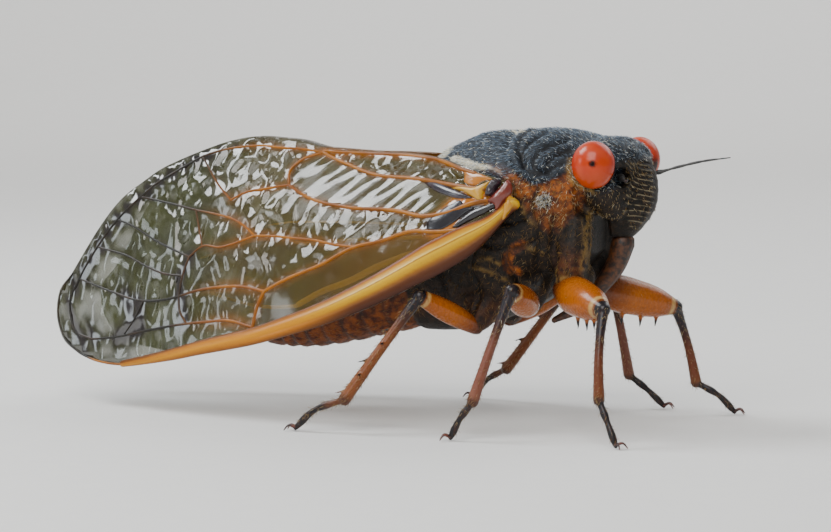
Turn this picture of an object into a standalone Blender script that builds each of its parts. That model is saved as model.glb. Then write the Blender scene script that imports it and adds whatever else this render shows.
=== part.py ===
"""A periodical cicada at life size, standing on its six feet with the wings folded like a roof.

The head points to +X, the insect's left side is +Y and up is +Z. The floor is z = 0, and the
origin lies on it under the middle of the whole length. Every length below is in millimetres
until the last step, which turns the finished solids into metres.
"""

import math

import bpy
import bmesh
import numpy as np
from mathutils import Vector
from mathutils.geometry import delaunay_2d_cdt

METRE_PER_MM = 0.001
GAP = 0.3
RIGHT, LEFT = -1, 1
SIDES = (("right", RIGHT), ("left", LEFT))

# Torso: places along the body, read from tail to head
TORSO_TOP = ((3.3, 14.9), (4.5, 16.6), (5.6, 17.15), (7.0, 17.75), (8.6, 18.0), (9.9, 17.95),
             (11.2, 18.15), (13.0, 18.1), (14.6, 17.75))
TORSO_BELLY = ((3.3, 5.5), (5.0, 5.5), (7.5, 5.9), (9.5, 6.7), (11.7, 7.7), (13.4, 9.2), (14.6, 10.6))
TORSO_HALF_WIDTH = ((3.3, 2.95), (5.0, 3.15), (7.0, 3.95), (9.0, 4.5), (11.0, 4.6), (12.8, 4.5), (14.6, 4.0))
TORSO_WIDEST = ((3.3, 9.8), (5.0, 11.0), (7.0, 12.6), (9.0, 13.6), (11.0, 14.3), (12.8, 14.9), (14.6, 15.1))
TORSO_ROUNDNESS = ((3.3, 1.9), (5.0, 1.6), (7.0, 1.75), (9.0, 2.0), (11.0, 2.15), (14.6, 2.3))
TORSO_STATIONS = (3.3, 3.9, 4.6, 5.4, 6.3, 7.3, 8.3, 9.3, 9.9, 10.5, 11.2, 11.9, 12.6, 13.3, 13.9, 14.3, 14.6)
TORSO_SIDES = 32

# Side views of the cuts that part the pronotum and the mesonotum from the thorax
PRONOTUM_SIDE_VIEW = ((15.4, 19.5), (9.85, 19.5), (10.15, 17.2), (10.7, 16.2), (11.3, 15.5), (12.4, 14.9),
                      (13.4, 15.2), (14.4, 15.8), (15.4, 16.0))
MESONOTUM_SIDE_VIEW = ((9.55, 19.5), (4.1, 19.5), (4.1, 16.0), (6.0, 15.9), (8.0, 15.6), (9.8, 15.2),
                       (10.9, 15.0), (10.95, 15.4), (10.35, 16.15), (9.85, 17.15))
CUT_HALF_WIDTH = 8.0

# Head: place, half width, top, height of the widest level and lowest level
HEAD_STATIONS = ((14.9, 3.55, 17.7, 15.6, 13.1), (15.5, 3.7, 17.7, 15.6, 12.7),
                 (16.1, 3.6, 17.65, 15.5, 12.4), (16.7, 3.2, 17.55, 15.3, 12.3),
                 (17.2, 2.55, 17.35, 15.2, 12.5), (17.6, 1.8, 17.1, 15.2, 13.0),
                 (17.9, 0.9, 16.8, 15.4, 14.2))
HEAD_SIDES = 28
EYE_PLACE = (15.9, 3.85, 16.15)
EYE_RADII = (1.3, 1.25, 1.42)
OCELLUS_RADIUS = 0.22
OCELLUS_SINK = 0.06
OCELLI = ((16.75, 0.0), (16.35, 0.42), (16.35, -0.42))

# Face: height, how far forward the face reaches there, and its half width
FACE_BACK = 16.1
FACE_BACK_REACH = 0.5
FACE_PROFILE = ((11.6, 16.9, 0.75), (12.0, 17.35, 1.1), (12.8, 18.05, 1.55), (13.6, 18.45, 1.8),
                (14.4, 18.55, 1.9), (15.2, 18.5, 1.8), (15.9, 18.3, 1.5), (16.5, 17.95, 1.05),
                (16.8, 17.6, 0.6))
FACE_GROOVES = 9
GROOVE_DEPTH = 0.09
FACE_SIDES = 20
BEAK = ((16.35, 0, 11.0), (15.9, 0, 10.0), (14.9, 0, 8.6), (13.4, 0, 7.2), (11.9, 0, 6.4))
BEAK_RADII = (0.75, 0.62, 0.5, 0.42, 0.3)
BEAK_SIDES = 10

# Feelers: a stout base and a bristle that rises and bends out
FEELERS = {
    "left": ((17.0, 2.15, 15.35), (17.6, 2.4, 15.45), (18.8, 2.8, 15.8), (20.2, 3.2, 16.15),
             (21.9, 3.5, 16.4)),
    "right": ((17.0, 2.15, 15.35), (17.3, 2.75, 15.3), (17.9, 3.9, 15.25), (18.5, 5.2, 15.3),
              (19.1, 6.5, 15.5)),
}
FEELER_RADII = (0.34, 0.28, 0.25, 0.2, 0.1)
FEELER_SIDES = 8
FEELER_STEP = 0.9

# Abdomen: place, top, height of the widest level, belly and half width, from front to tip
ABDOMEN_STATIONS = ((3.0, 14.4, 9.9, 5.5, 3.15), (1.4, 13.9, 9.4, 5.2, 3.3), (-0.4, 13.0, 8.6, 4.75, 3.3),
                    (-2.2, 11.7, 7.8, 4.35, 3.1), (-4.0, 10.1, 6.9, 4.05, 2.75), (-5.7, 8.3, 6.1, 3.95, 2.15),
                    (-7.0, 6.8, 5.4, 3.95, 1.45), (-7.9, 5.5, 4.8, 4.1, 0.7))
SEGMENT_RINGS = (3.0, 1.5, 0.0, -1.5, -2.9, -4.2, -5.3, -6.3)
SEGMENT_STEP = 0.16
ABDOMEN_TIP_RINGS = (-6.6, -7.1, -7.5, -7.9)
ABDOMEN_SIDES = 24

# Roof of the folded wings: the ridge where the inner edges lie, and the low line of the costal edges
ROOF_RIDGE_HEIGHT = ((-22.6, 17.5), (-9.0, 17.4), (-7.0, 17.4), (-5.0, 17.2), (-3.5, 16.85), (-1.0, 16.65),
                     (3.0, 16.6), (5.2, 16.4), (7.0, 16.1), (9.0, 15.65), (11.4, 15.1))
ROOF_RIDGE_OUT = ((-22.6, 0.56), (0.0, 0.56), (3.0, 0.85), (4.6, 1.5), (6.0, 2.7), (7.5, 3.8), (9.0, 4.6),
                  (11.4, 5.05))
ROOF_LOW_HEIGHT = ((-22.6, 2.0), (-17.0, 2.4), (-11.0, 3.4), (-5.4, 4.7), (-1.7, 5.9), (1.9, 7.2), (5.3, 8.8),
                   (7.5, 10.1), (9.6, 11.6), (11.4, 13.2))
ROOF_LOW_OUT = ((-22.6, 3.0), (-17.0, 4.4), (-11.0, 5.9), (-5.4, 6.9), (-1.0, 7.2), (3.0, 7.1), (6.0, 6.7),
                (9.0, 5.9), (11.4, 5.2))
ROOF_BOW = 0.35
ROOF_LEVEL_STRETCH = 11.0

# Forewing: its outline and main veins in side view, as fore-aft place and height
FOREWING_HALF_THICKNESS = 0.25
VEIN_HALF_WIDTH = 0.28
VEIN_RISE = 0.16
COSTA_HALF_WIDTH = 0.75
COSTA_RISE = 0.2
COSTA_EDGE = ((11.3, 13.4), (9.7, 11.4), (7.7, 9.9), (5.6, 8.8), (3.8, 7.9), (1.2, 6.8), (-1.1, 6.0),
              (-3.0, 5.45), (-5.4, 4.8), (-7.3, 4.4), (-9.5, 3.95), (-11.5, 3.5), (-13.6, 3.1),
              (-16.0, 2.7))
WING_TIP_EDGE = ((-17.9, 2.75), (-20.1, 3.3), (-21.5, 4.3), (-22.0, 5.6), (-21.9, 7.0), (-20.9, 8.3),
                 (-19.9, 9.8), (-19.0, 11.2), (-18.0, 12.6), (-15.9, 14.4), (-14.5, 15.3), (-13.0, 16.0),
                 (-11.7, 16.5), (-10.3, 17.0), (-9.1, 17.25), (-7.3, 17.3), (-5.3, 17.1), (-3.5, 16.7))
WING_INNER_EDGE = ((-1.0, 16.55), (1.8, 16.5), (4.4, 16.35), (5.8, 16.2), (7.5, 15.9), (9.3, 15.5),
                   (11.3, 15.0))
CLAVAL_VEIN = ((-3.5, 16.4), (-1.5, 15.75), (1.3, 15.1), (3.9, 15.0), (7.3, 14.75), (9.4, 14.6))
CUBITAL_VEIN = ((-4.9, 14.4), (-4.5, 14.2), (-3.0, 13.6), (-0.3, 13.2), (3.4, 13.1), (5.6, 12.9), (7.3, 13.2),
                (8.9, 13.8), (10.4, 14.1))
CUBITAL_LOOP = ((-4.9, 14.4), (-5.2, 15.2), (-4.7, 15.9), (-3.5, 16.4))
CUBITAL_OUTER = ((-4.9, 14.4), (-6.8, 14.1), (-7.9, 13.9), (-8.9, 13.4))
MEDIAL_VEIN = ((8.6, 12.3), (6.3, 12.0), (5.0, 12.0), (2.7, 11.3), (1.0, 10.9), (-1.2, 9.75), (-3.5, 8.8),
               (-5.0, 8.0))
MEDIAL_UPPER = ((1.0, 10.9), (-0.6, 11.0), (-2.2, 11.2), (-4.4, 11.3), (-6.5, 11.3))
NODE_VEIN = ((-5.0, 8.0), (-5.3, 7.2), (-5.5, 5.8), (-5.6, 5.2))
RADIAL_VEIN = ((-5.0, 8.0), (-6.7, 8.2), (-8.4, 8.1), (-10.2, 7.8), (-12.2, 7.2), (-15.0, 6.9), (-17.3, 7.3),
               (-20.2, 8.0))
SUBCOSTAL_VEIN = ((-5.5, 5.8), (-7.4, 6.1), (-9.3, 5.9), (-10.8, 5.7), (-13.9, 5.1), (-16.6, 4.5),
                  (-18.8, 4.2))
CROSS_VEIN = ((-10.8, 5.7), (-11.5, 6.5), (-11.7, 7.4), (-11.6, 8.6), (-11.3, 9.8))
MEDIAL_LOWER_FORK = ((-6.5, 11.3), (-7.3, 11.0), (-9.0, 10.5), (-10.4, 10.5), (-11.3, 9.8))
MEDIAL_UPPER_FORK = ((-6.5, 11.3), (-7.3, 11.8), (-8.6, 12.3), (-9.8, 12.5), (-11.4, 12.7))
OUTER_VEINS = (
    ((-11.3, 9.8), (-14.2, 10.7), (-16.4, 11.6), (-17.5, 11.9)),
    ((-11.6, 8.6), (-13.3, 8.7), (-14.8, 9.1), (-16.2, 9.6), (-18.9, 10.1)),
    ((-11.4, 12.7), (-13.2, 13.0), (-15.9, 13.4)),
    ((-8.9, 13.4), (-10.0, 14.2), (-11.9, 16.0)),
    ((-11.4, 12.7), (-10.4, 10.5)),
    ((-14.6, 6.9), (-15.3, 5.6), (-16.0, 4.7)),
)
AMBIENT_VEIN = ((-3.5, 16.4), (-6.4, 16.65), (-8.1, 16.75), (-9.7, 16.6), (-11.9, 16.0), (-13.3, 15.2),
                (-14.8, 14.3), (-15.9, 13.4), (-17.5, 11.9), (-18.9, 10.1), (-20.2, 8.0), (-20.9, 6.4),
                (-20.5, 4.9), (-18.8, 4.2))
FOREWING_VEINS = (CLAVAL_VEIN, CUBITAL_VEIN, CUBITAL_LOOP, CUBITAL_OUTER, MEDIAL_VEIN, MEDIAL_UPPER,
                  NODE_VEIN, RADIAL_VEIN, SUBCOSTAL_VEIN, CROSS_VEIN, MEDIAL_LOWER_FORK,
                  MEDIAL_UPPER_FORK, AMBIENT_VEIN) + OUTER_VEINS

# Triangles of the wings: steps along the lines, and how far points keep from the rim and each other
VEIN_STEP = 1.7
EDGE_STEP = 1.6
MEMBRANE_STEP = 2.3
COSTA_CREST = 0.55
RIM_GAP = 0.3
CREST_GAP = 0.3
FOOT_OF_VEIN_GAP = 0.25
FOOT_OF_COSTA_GAP = 0.3
MEMBRANE_RIM_GAP = 0.7
MEMBRANE_GAP = 0.9
MEMBRANE_WELD = 0.01
OTHER_VEIN_SHARE = 0.85

# Hindwing: it lies under the forewing, at this depth between the two middle surfaces
HINDWING_DEPTH = 1.15
HINDWING_HALF_THICKNESS = 0.25
HINDWING_VEIN_RISE = 0.1
HINDWING_FRONT_EDGE = ((6.2, 11.8), (5.2, 10.9), (3.6, 10.1), (1.4, 9.1), (-0.9, 8.2), (-3.4, 6.75),
                       (-7.2, 6.05), (-10.0, 5.85))
HINDWING_TIP_EDGE = ((-11.6, 6.3), (-12.4, 7.6), (-12.3, 9.0), (-11.7, 10.4), (-10.2, 12.0), (-7.6, 13.1),
                     (-5.0, 13.5))
HINDWING_INNER_EDGE = ((-2.0, 13.8), (1.5, 13.8), (4.2, 13.6), (6.2, 13.2))
HINDWING_VEINS = (
    ((5.9, 11.8), (5.2, 11.4), (3.6, 10.7), (1.4, 9.8), (-0.9, 8.9), (-3.2, 7.5)),
    ((4.6, 11.8), (1.5, 11.7), (-1.5, 11.6), (-5.1, 11.6), (-8.0, 11.2), (-11.3, 10.0)),
    ((4.4, 12.9), (1.0, 12.9), (-3.0, 12.8), (-6.4, 12.4)),
    ((-3.2, 7.5), (-5.6, 7.3), (-8.6, 7.6), (-11.6, 8.2)),
)

# Legs: the hip, the knee, the ankle, and the foot's bend and tip, with +Y outwards on either side
LEGS = (
    ("front", RIGHT, (14.0, 2.95, 8.45), (17.6, 6.5, 7.85), (17.95, 8.0, 2.75),
     (18.6, 8.3, 1.5), (19.2, 8.5, 0.3)),
    ("front", LEFT, (14.0, 2.95, 8.1), (17.4, 6.5, 6.85), (18.25, 8.0, 2.0),
     (19.7, 8.4, 1.15), (20.6, 8.6, 0.3)),
    ("mid", RIGHT, (11.4, 2.7, 7.4), (12.0, 7.0, 8.75), (10.4, 9.0, 2.35),
     (9.7, 9.3, 1.3), (9.2, 9.5, 0.3)),
    ("mid", LEFT, (11.5, 2.7, 7.5), (12.9, 6.9, 8.3), (13.4, 8.9, 2.15),
     (14.7, 9.2, 1.1), (15.6, 9.4, 0.3)),
    ("hind", RIGHT, (7.8, 2.8, 6.1), (5.75, 6.4, 8.15), (2.1, 9.2, 2.05),
     (0.1, 9.5, 1.25), (-1.0, 9.6, 0.3)),
    ("hind", LEFT, (7.8, 2.8, 6.1), (10.2, 5.9, 7.7), (5.2, 8.2, 2.2),
     (3.4, 8.8, 1.2), (2.5, 9.0, 0.3)),
)
COXA_TOP = {"front": (14.35, 2.75, 12.9), "mid": (11.6, 1.8, 9.6), "hind": (8.4, 1.7, 8.0)}
COXA_SIDES, FEMUR_SIDES, SHIN_SIDES, FOOT_SIDES, CLAW_SIDES = 12, 14, 10, 8, 6
COXA_SHARES = (0.0, 0.35, 0.75, 1.0)
COXA_RADII = {"front": (0.9, 1.05, 1.0, 0.75), "mid": (1.0, 1.05, 0.85, 0.62), "hind": (1.0, 1.1, 0.9, 0.6)}
FEMUR_SHARES = (0.0, 0.25, 0.5, 0.78, 1.0)
FEMUR_RADII = {"front": (0.8, 1.15, 1.12, 0.92, 0.45), "mid": (0.55, 0.85, 0.88, 0.72, 0.45),
               "hind": (0.5, 0.62, 0.68, 0.6, 0.45)}
FEMUR_START = {"front": -0.55, "mid": -0.1, "hind": -0.1}
FEMUR_STOP = 0.15
SHIN_SHARES = (0.33, 0.67)
SHIN_RADII = {"front": (0.34, 0.36, 0.34, 0.38), "mid": (0.34, 0.38, 0.36, 0.38),
              "hind": (0.34, 0.4, 0.38, 0.4)}
SHIN_BOW = {"front": 0.35, "mid": 0.12, "hind": 0.1}
FOOT_RADII = (0.26, 0.28, 0.28, 0.25)
FOOT_STEP = 0.6
SOLE_SINK = 0.2

# Spines: how far along the limb each grows, and the femur's with their size from 0 to 1
FEMUR_SPINES = ((0.36, 1.0), (0.6, 0.8), (0.8, 0.45))
FEMUR_SPINE_DEPTH = 0.3
FEMUR_SPINE_REACH = 0.95
FEMUR_SPINE_LENGTH = 0.8
FEMUR_SPINE_LEAN = 0.25
FEMUR_SPINE_RADIUS = (0.18, 0.12)
SHIN_SPINES = (0.3, 0.45, 0.6, 0.75, 0.9)
SHIN_SPINE_DEPTH = 0.8
SHIN_SPINE_LENGTH = 0.75
SHIN_SPINE_LEAN = 0.35
SHIN_SPINE_RADIUS = 0.14
SPINE_TAPER = (1.0, 0.7, 0.18)

# Claws: two hooks that spread from the foot's tip
CLAW_RADII = (0.17, 0.14, 0.05)
CLAW_AHEAD = 0.6
CLAW_ASIDE = (0.1, 0.3375)
CLAW_ARCH = 0.12
CLAW_TIP_HEIGHT = 0.1

# Shared rules of shape
BELLY_ROUNDNESS = 2.2
LIMB_CAP_REACH = 0.45
LIMB_CAP_SIZE = 0.55
WELD_DISTANCE = 0.002
FLOOR_CUT_DISTANCE = 0.0005
SHARP_ANGLE = 40.0


def curve_through(points):
    """A smooth function of place through (place, value) pairs in rising order of place."""
    places = np.array([place for place, value in points], float)
    values = np.array([value for place, value in points], float)
    slopes = np.gradient(values, places)

    def read(at):
        at = min(max(at, places[0]), places[-1])
        index = min(max(int(np.searchsorted(places, at)) - 1, 0), len(places) - 2)
        span = places[index + 1] - places[index]
        t = (at - places[index]) / span
        return float((1 + 2 * t) * (1 - t) ** 2 * values[index] + t * (1 - t) ** 2 * span * slopes[index]
                     + t * t * (3 - 2 * t) * values[index + 1] + t * t * (t - 1) * span * slopes[index + 1])

    return read


def column(rows, which):
    """One column of a table of stations, as a smooth function of place."""
    return curve_through(sorted((row[0], row[which]) for row in rows))


def bent_line(points, step):
    """Points about one step apart on a smooth line through the given points."""
    given = [np.array(point, float) for point in points]
    lengths = [0.0]
    for start, end in zip(given, given[1:]):
        lengths.append(lengths[-1] + float(np.linalg.norm(end - start)))
    axes = []
    for axis in range(len(given[0])):
        axes.append(curve_through([(length, point[axis]) for length, point in zip(lengths, given)]))
    count = max(1, round(lengths[-1] / step))
    return [np.array([axis(lengths[-1] * i / count) for axis in axes]) for i in range(count + 1)]


def material(name, colour, roughness, alpha=1.0):
    made = bpy.data.materials.get(name)
    if made is None:
        made = bpy.data.materials.new(name)
        made.use_nodes = True
        shader = made.node_tree.nodes["Principled BSDF"]
        shader.inputs["Base Color"].default_value = (*colour, 1.0)
        shader.inputs["Roughness"].default_value = roughness
        shader.inputs["Metallic"].default_value = 0.0
        shader.inputs["Alpha"].default_value = alpha
    return made


def shell_black():
    return material("shell_black", (0.022, 0.03, 0.045), 0.45)


def eye_red():
    return material("eye_red", (0.5, 0.07, 0.03), 0.2)


def leg_orange():
    return material("leg_orange", (0.55, 0.19, 0.03), 0.3)


def leg_dark():
    return material("leg_dark", (0.05, 0.04, 0.045), 0.35)


def abdomen_brown():
    return material("abdomen_brown", (0.16, 0.06, 0.025), 0.4)


def wing_membrane():
    return material("wing_membrane", (0.5, 0.4, 0.22), 0.25, 0.5)


def add_object(name, mesh, finish):
    made = bpy.data.objects.new(name, mesh)
    bpy.context.scene.collection.objects.link(made)
    mesh.materials.clear()
    mesh.materials.append(finish)
    return made


def solid_from_rings(name, rings, finish):
    """One closed skin over rings of equally many points, with a fan over each end."""
    work = bmesh.new()
    loops = [[work.verts.new(point) for point in ring] for ring in rings]
    count = len(loops[0])
    for low, high in zip(loops, loops[1:]):
        for i in range(count):
            j = (i + 1) % count
            work.faces.new((low[i], low[j], high[j], high[i]))
    for loop in (loops[0], loops[-1]):
        middle = work.verts.new(sum((vert.co for vert in loop), Vector()) / count)
        for i in range(count):
            work.faces.new((middle, loop[i], loop[(i + 1) % count]))
    bmesh.ops.recalc_face_normals(work, faces=work.faces)
    bmesh.ops.triangulate(work, faces=work.faces)
    mesh = bpy.data.meshes.new(name)
    work.to_mesh(mesh)
    work.free()
    return add_object(name, mesh, finish)


def body_ring(place, top, widest, belly, half_width, sides, roundness=2.0, grow=0.0):
    """A cross-section of the body: an oval whose widest level needn't be half way up."""
    ring = []
    power = 2.0 / roundness
    for i in range(sides):
        angle = math.tau * (i + 0.5) / sides
        side, rise = math.cos(angle), math.sin(angle)
        reach = (top - widest if rise > 0 else widest - belly) + grow
        shape = power if rise > 0 else 2.0 / BELLY_ROUNDNESS
        ring.append((place, math.copysign(abs(side) ** shape, side) * (half_width + grow),
                     widest + math.copysign(abs(rise) ** shape, rise) * reach))
    return ring


def tube_rings(path, radii, sides, flatten=1.0):
    """Rings square to a bent path. Each is as wide as its radius, and flatten times as deep."""
    points = [Vector(point) for point in path]
    rings = []
    for i, point in enumerate(points):
        ahead = points[min(i + 1, len(points) - 1)] - points[max(i - 1, 0)]
        ahead.normalize()
        across = ahead.cross(Vector((0, 0, 1)))
        if across.length < 0.2:
            across = ahead.cross(Vector((1, 0, 0)))
        across.normalize()
        up = across.cross(ahead)
        rings.append([point + radii[i] * (math.cos(math.tau * k / sides) * across
                                          + flatten * math.sin(math.tau * k / sides) * up)
                      for k in range(sides)])
    return rings


def rounded_limb(name, path, radii, sides, finish, grow=0.0):
    """A limb with softly rounded ends along a bent path."""
    points = [Vector(point) for point in path]
    start, end = (points[0] - points[1]).normalized(), (points[-1] - points[-2]).normalized()
    first, last = radii[0] + grow, radii[-1] + grow
    points[0] = points[0] + grow * start
    points[-1] = points[-1] + grow * end
    front_cap = points[0] + LIMB_CAP_REACH * first * start
    rear_cap = points[-1] + LIMB_CAP_REACH * last * end
    points = [front_cap] + points + [rear_cap]
    widths = [LIMB_CAP_SIZE * first] + [radius + grow for radius in radii] + [LIMB_CAP_SIZE * last]
    return solid_from_rings(name, tube_rings(points, widths, sides), finish)


def ball(name, centre, radii, finish, segments=18, rings=10, grow=0.0):
    work = bmesh.new()
    bmesh.ops.create_uvsphere(work, u_segments=segments, v_segments=rings, radius=1.0)
    for vert in work.verts:
        vert.co = Vector(centre[i] + vert.co[i] * (radii[i] + grow) for i in range(3))
    bmesh.ops.triangulate(work, faces=work.faces)
    mesh = bpy.data.meshes.new(name)
    work.to_mesh(mesh)
    work.free()
    return add_object(name, mesh, finish)


def spike(name, root, tip, radius, finish, sides=5):
    """A tapered spine whose root point lies well inside what carries it."""
    root, tip = Vector(root), Vector(tip)
    path = (root, root.lerp(tip, 0.5), tip)
    return solid_from_rings(name, tube_rings(path, [radius * share for share in SPINE_TAPER], sides), finish)


def apply_boolean(target, operation, others):
    """One Boolean of a target with a group of closed solids, which are then removed."""
    group = bpy.data.collections.new("pieces")
    for other in others:
        group.objects.link(other)
    modifier = target.modifiers.new("join", "BOOLEAN")
    modifier.operation = operation
    modifier.operand_type = "COLLECTION"
    modifier.collection = group
    modifier.solver = "EXACT"
    bpy.context.view_layer.update()
    shape = bpy.data.meshes.new_from_object(target.evaluated_get(bpy.context.evaluated_depsgraph_get()))
    target.modifiers.clear()
    target.data = shape
    for other in others:
        bpy.data.objects.remove(other)
    bpy.data.collections.remove(group)
    keep_largest(target)
    return target


def keep_largest(target):
    """Merges doubles and keeps only the largest closed surface of a solid."""
    work = bmesh.new()
    work.from_mesh(target.data)
    bmesh.ops.remove_doubles(work, verts=work.verts, dist=WELD_DISTANCE)
    bmesh.ops.dissolve_degenerate(work, edges=work.edges, dist=WELD_DISTANCE)
    bmesh.ops.triangulate(work, faces=work.faces)
    work.faces.ensure_lookup_table()
    seen, islands = set(), []
    for face in work.faces:
        if face.index in seen:
            continue
        seen.add(face.index)
        island, todo = [], [face]
        while todo:
            current = todo.pop()
            island.append(current)
            for edge in current.edges:
                for other in edge.link_faces:
                    if other.index not in seen:
                        seen.add(other.index)
                        todo.append(other)
        islands.append(island)
    largest = max(islands, key=lambda island: sum(face.calc_area() for face in island))
    scraps = [face for island in islands if island is not largest for face in island]
    bmesh.ops.delete(work, geom=scraps, context="FACES")
    work.to_mesh(target.data)
    work.free()


def side_prism(name, outline, grow=0.0):
    """A side-view outline, anticlockwise, carried across the body and made larger all round by grow."""
    count = len(outline)
    points = []
    for i in range(count):
        before, here, after = (Vector(outline[(i + k) % count]) for k in (-1, 0, 1))
        one, two = (here - before).normalized(), (after - here).normalized()
        normal_one, normal_two = Vector((one.y, -one.x)), Vector((two.y, -two.x))
        miter = (normal_one + normal_two) / (1.0 + normal_one.dot(normal_two))
        points.append(here + grow * miter)
    work = bmesh.new()
    near = [work.verts.new((point.x, -CUT_HALF_WIDTH, point.y)) for point in points]
    far = [work.verts.new((point.x, CUT_HALF_WIDTH, point.y)) for point in points]
    work.faces.new(near)
    work.faces.new(reversed(far))
    for i in range(count):
        j = (i + 1) % count
        work.faces.new((near[j], near[i], far[i], far[j]))
    bmesh.ops.recalc_face_normals(work, faces=work.faces)
    bmesh.ops.triangulate(work, faces=work.faces)
    mesh = bpy.data.meshes.new(name)
    work.to_mesh(mesh)
    work.free()
    return add_object(name, mesh, shell_black())


def torso_solid(name):
    """The whole thorax with both shields, from the waist to the neck, before it is parted."""
    top, belly = curve_through(TORSO_TOP), curve_through(TORSO_BELLY)
    half_width, widest = curve_through(TORSO_HALF_WIDTH), curve_through(TORSO_WIDEST)
    roundness = curve_through(TORSO_ROUNDNESS)
    rings = [body_ring(x, top(x), widest(x), belly(x), half_width(x), TORSO_SIDES, roundness(x))
             for x in TORSO_STATIONS]
    return solid_from_rings(name, rings, shell_black())


def eye_solid(name, side, grow=0.0):
    x, y, z = EYE_PLACE
    return ball(name, (x, side * y, z), EYE_RADII, eye_red(), grow=grow)


def coxa_solid(name, leg, side, hip, grow=0.0):
    top, low = Vector(COXA_TOP[leg]), Vector(hip)
    path = [on_side(top.lerp(low, share), side) for share in COXA_SHARES]
    return rounded_limb(name, path, COXA_RADII[leg], COXA_SIDES, leg_dark(), grow)


def make_torso():
    """Pronotum, mesonotum and thorax: one torso parted by thin cuts, hollowed for eyes and coxae."""
    pronotum = torso_solid("pronotum")
    apply_boolean(pronotum, "INTERSECT", [side_prism("cut", PRONOTUM_SIDE_VIEW)])
    apply_boolean(pronotum, "DIFFERENCE", [eye_solid("cut_" + word, side, GAP) for word, side in SIDES])
    mesonotum = torso_solid("mesonotum")
    apply_boolean(mesonotum, "INTERSECT", [side_prism("cut", MESONOTUM_SIDE_VIEW)])
    thorax = torso_solid("thorax")
    cutters = [side_prism("cut", outline, GAP) for outline in (PRONOTUM_SIDE_VIEW, MESONOTUM_SIDE_VIEW)]
    cutters += [eye_solid("cut_" + word, side, GAP) for word, side in SIDES]
    cutters += [coxa_solid("cut_coxa", leg, side, places[0], GAP) for leg, side, *places in LEGS]
    apply_boolean(thorax, "DIFFERENCE", cutters)


def head_solid(name):
    rings = [body_ring(x, top, widest, low, half_width, HEAD_SIDES, 2.4)
             for x, half_width, top, widest, low in HEAD_STATIONS]
    return solid_from_rings(name, rings, shell_black())


def face_solid(name, grow=0.0, grooved=True):
    """The bulging face with its row of cross grooves."""
    front = curve_through([(z, x) for z, x, half in FACE_PROFILE])
    half_width = curve_through([(z, half) for z, x, half in FACE_PROFILE])
    low, high = FACE_PROFILE[0][0], FACE_PROFILE[-1][0]
    count = 2 * FACE_GROOVES if grooved else 8
    rings = []
    for k in range(count + 1):
        z = low + (high - low) * k / count
        dip = GROOVE_DEPTH if grooved and k % 2 and 1 < k < count - 1 else 0.0
        ring = []
        for i in range(FACE_SIDES):
            angle = math.tau * i / FACE_SIDES
            reach = (front(z) - FACE_BACK - dip) if math.cos(angle) > 0 else FACE_BACK_REACH
            edge = dip if math.cos(angle) > 0 else 0.0
            shift = grow if k in (0, count) else 0.0
            ring.append((FACE_BACK + math.cos(angle) * (reach + grow),
                         math.sin(angle) * (half_width(z) - edge + grow),
                         z + math.copysign(shift, k - 1)))
        rings.append(ring)
    return solid_from_rings(name, rings, shell_black())


def beak_solid(name, grow=0.0):
    return rounded_limb(name, BEAK, BEAK_RADII, BEAK_SIDES, shell_black(), grow)


def radii_along(radii, count):
    """A row of radii, spread smoothly over count points."""
    radius = curve_through(list(zip(np.linspace(0, 1, len(radii)), radii)))
    return [radius(i / (count - 1)) for i in range(count)]


def feeler_solid(name, word, side, grow=0.0):
    path = bent_line([on_side(point, side) for point in FEELERS[word]], FEELER_STEP)
    radii = radii_along(FEELER_RADII, len(path))
    return rounded_limb(name, path, radii, FEELER_SIDES, shell_black(), grow)


def make_head():
    head = head_solid("head")
    cutters = [eye_solid("cut_" + word, side, GAP) for word, side in SIDES]
    cutters.append(face_solid("cut_face", GAP, grooved=False))
    cutters += [feeler_solid("cut_feeler_" + word, word, side, GAP) for word, side in SIDES]
    cutters += [coxa_solid("cut_coxa", "front", side, LEGS[0][2], GAP) for word, side in SIDES]
    apply_boolean(head, "DIFFERENCE", cutters)
    top, bumps = column(HEAD_STATIONS, 2), []
    for x, y in OCELLI:
        bumps.append(ball("ocellus", (x, y, top(x) - OCELLUS_SINK), (OCELLUS_RADIUS,) * 3, eye_red(), 8, 6))
    apply_boolean(head, "UNION", bumps)
    face = face_solid("face")
    apply_boolean(face, "DIFFERENCE", [beak_solid("cut_beak", GAP)])
    beak_solid("beak")
    for word, side in SIDES:
        eye_solid("eye_" + word, side)
        feeler_solid("feeler_" + word, word, side)


def make_abdomen():
    """The abdomen in overlapping rings, each a little wider at its rear edge, and its last ring."""
    top, widest = column(ABDOMEN_STATIONS, 1), column(ABDOMEN_STATIONS, 2)
    belly, half_width = column(ABDOMEN_STATIONS, 3), column(ABDOMEN_STATIONS, 4)

    def ring(x, grow):
        return body_ring(x, top(x), widest(x), belly(x), half_width(x), ABDOMEN_SIDES, 2.0, grow)

    rings = []
    for start, end in zip(SEGMENT_RINGS, SEGMENT_RINGS[1:]):
        rings += [ring(start, -SEGMENT_STEP), ring(0.35 * start + 0.65 * end, 0.0), ring(end + 0.12, 0.0)]
    solid_from_rings("abdomen", rings, abdomen_brown())
    solid_from_rings("abdomen_tip", [ring(x, -0.05) for x in ABDOMEN_TIP_RINGS], abdomen_brown())


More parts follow.
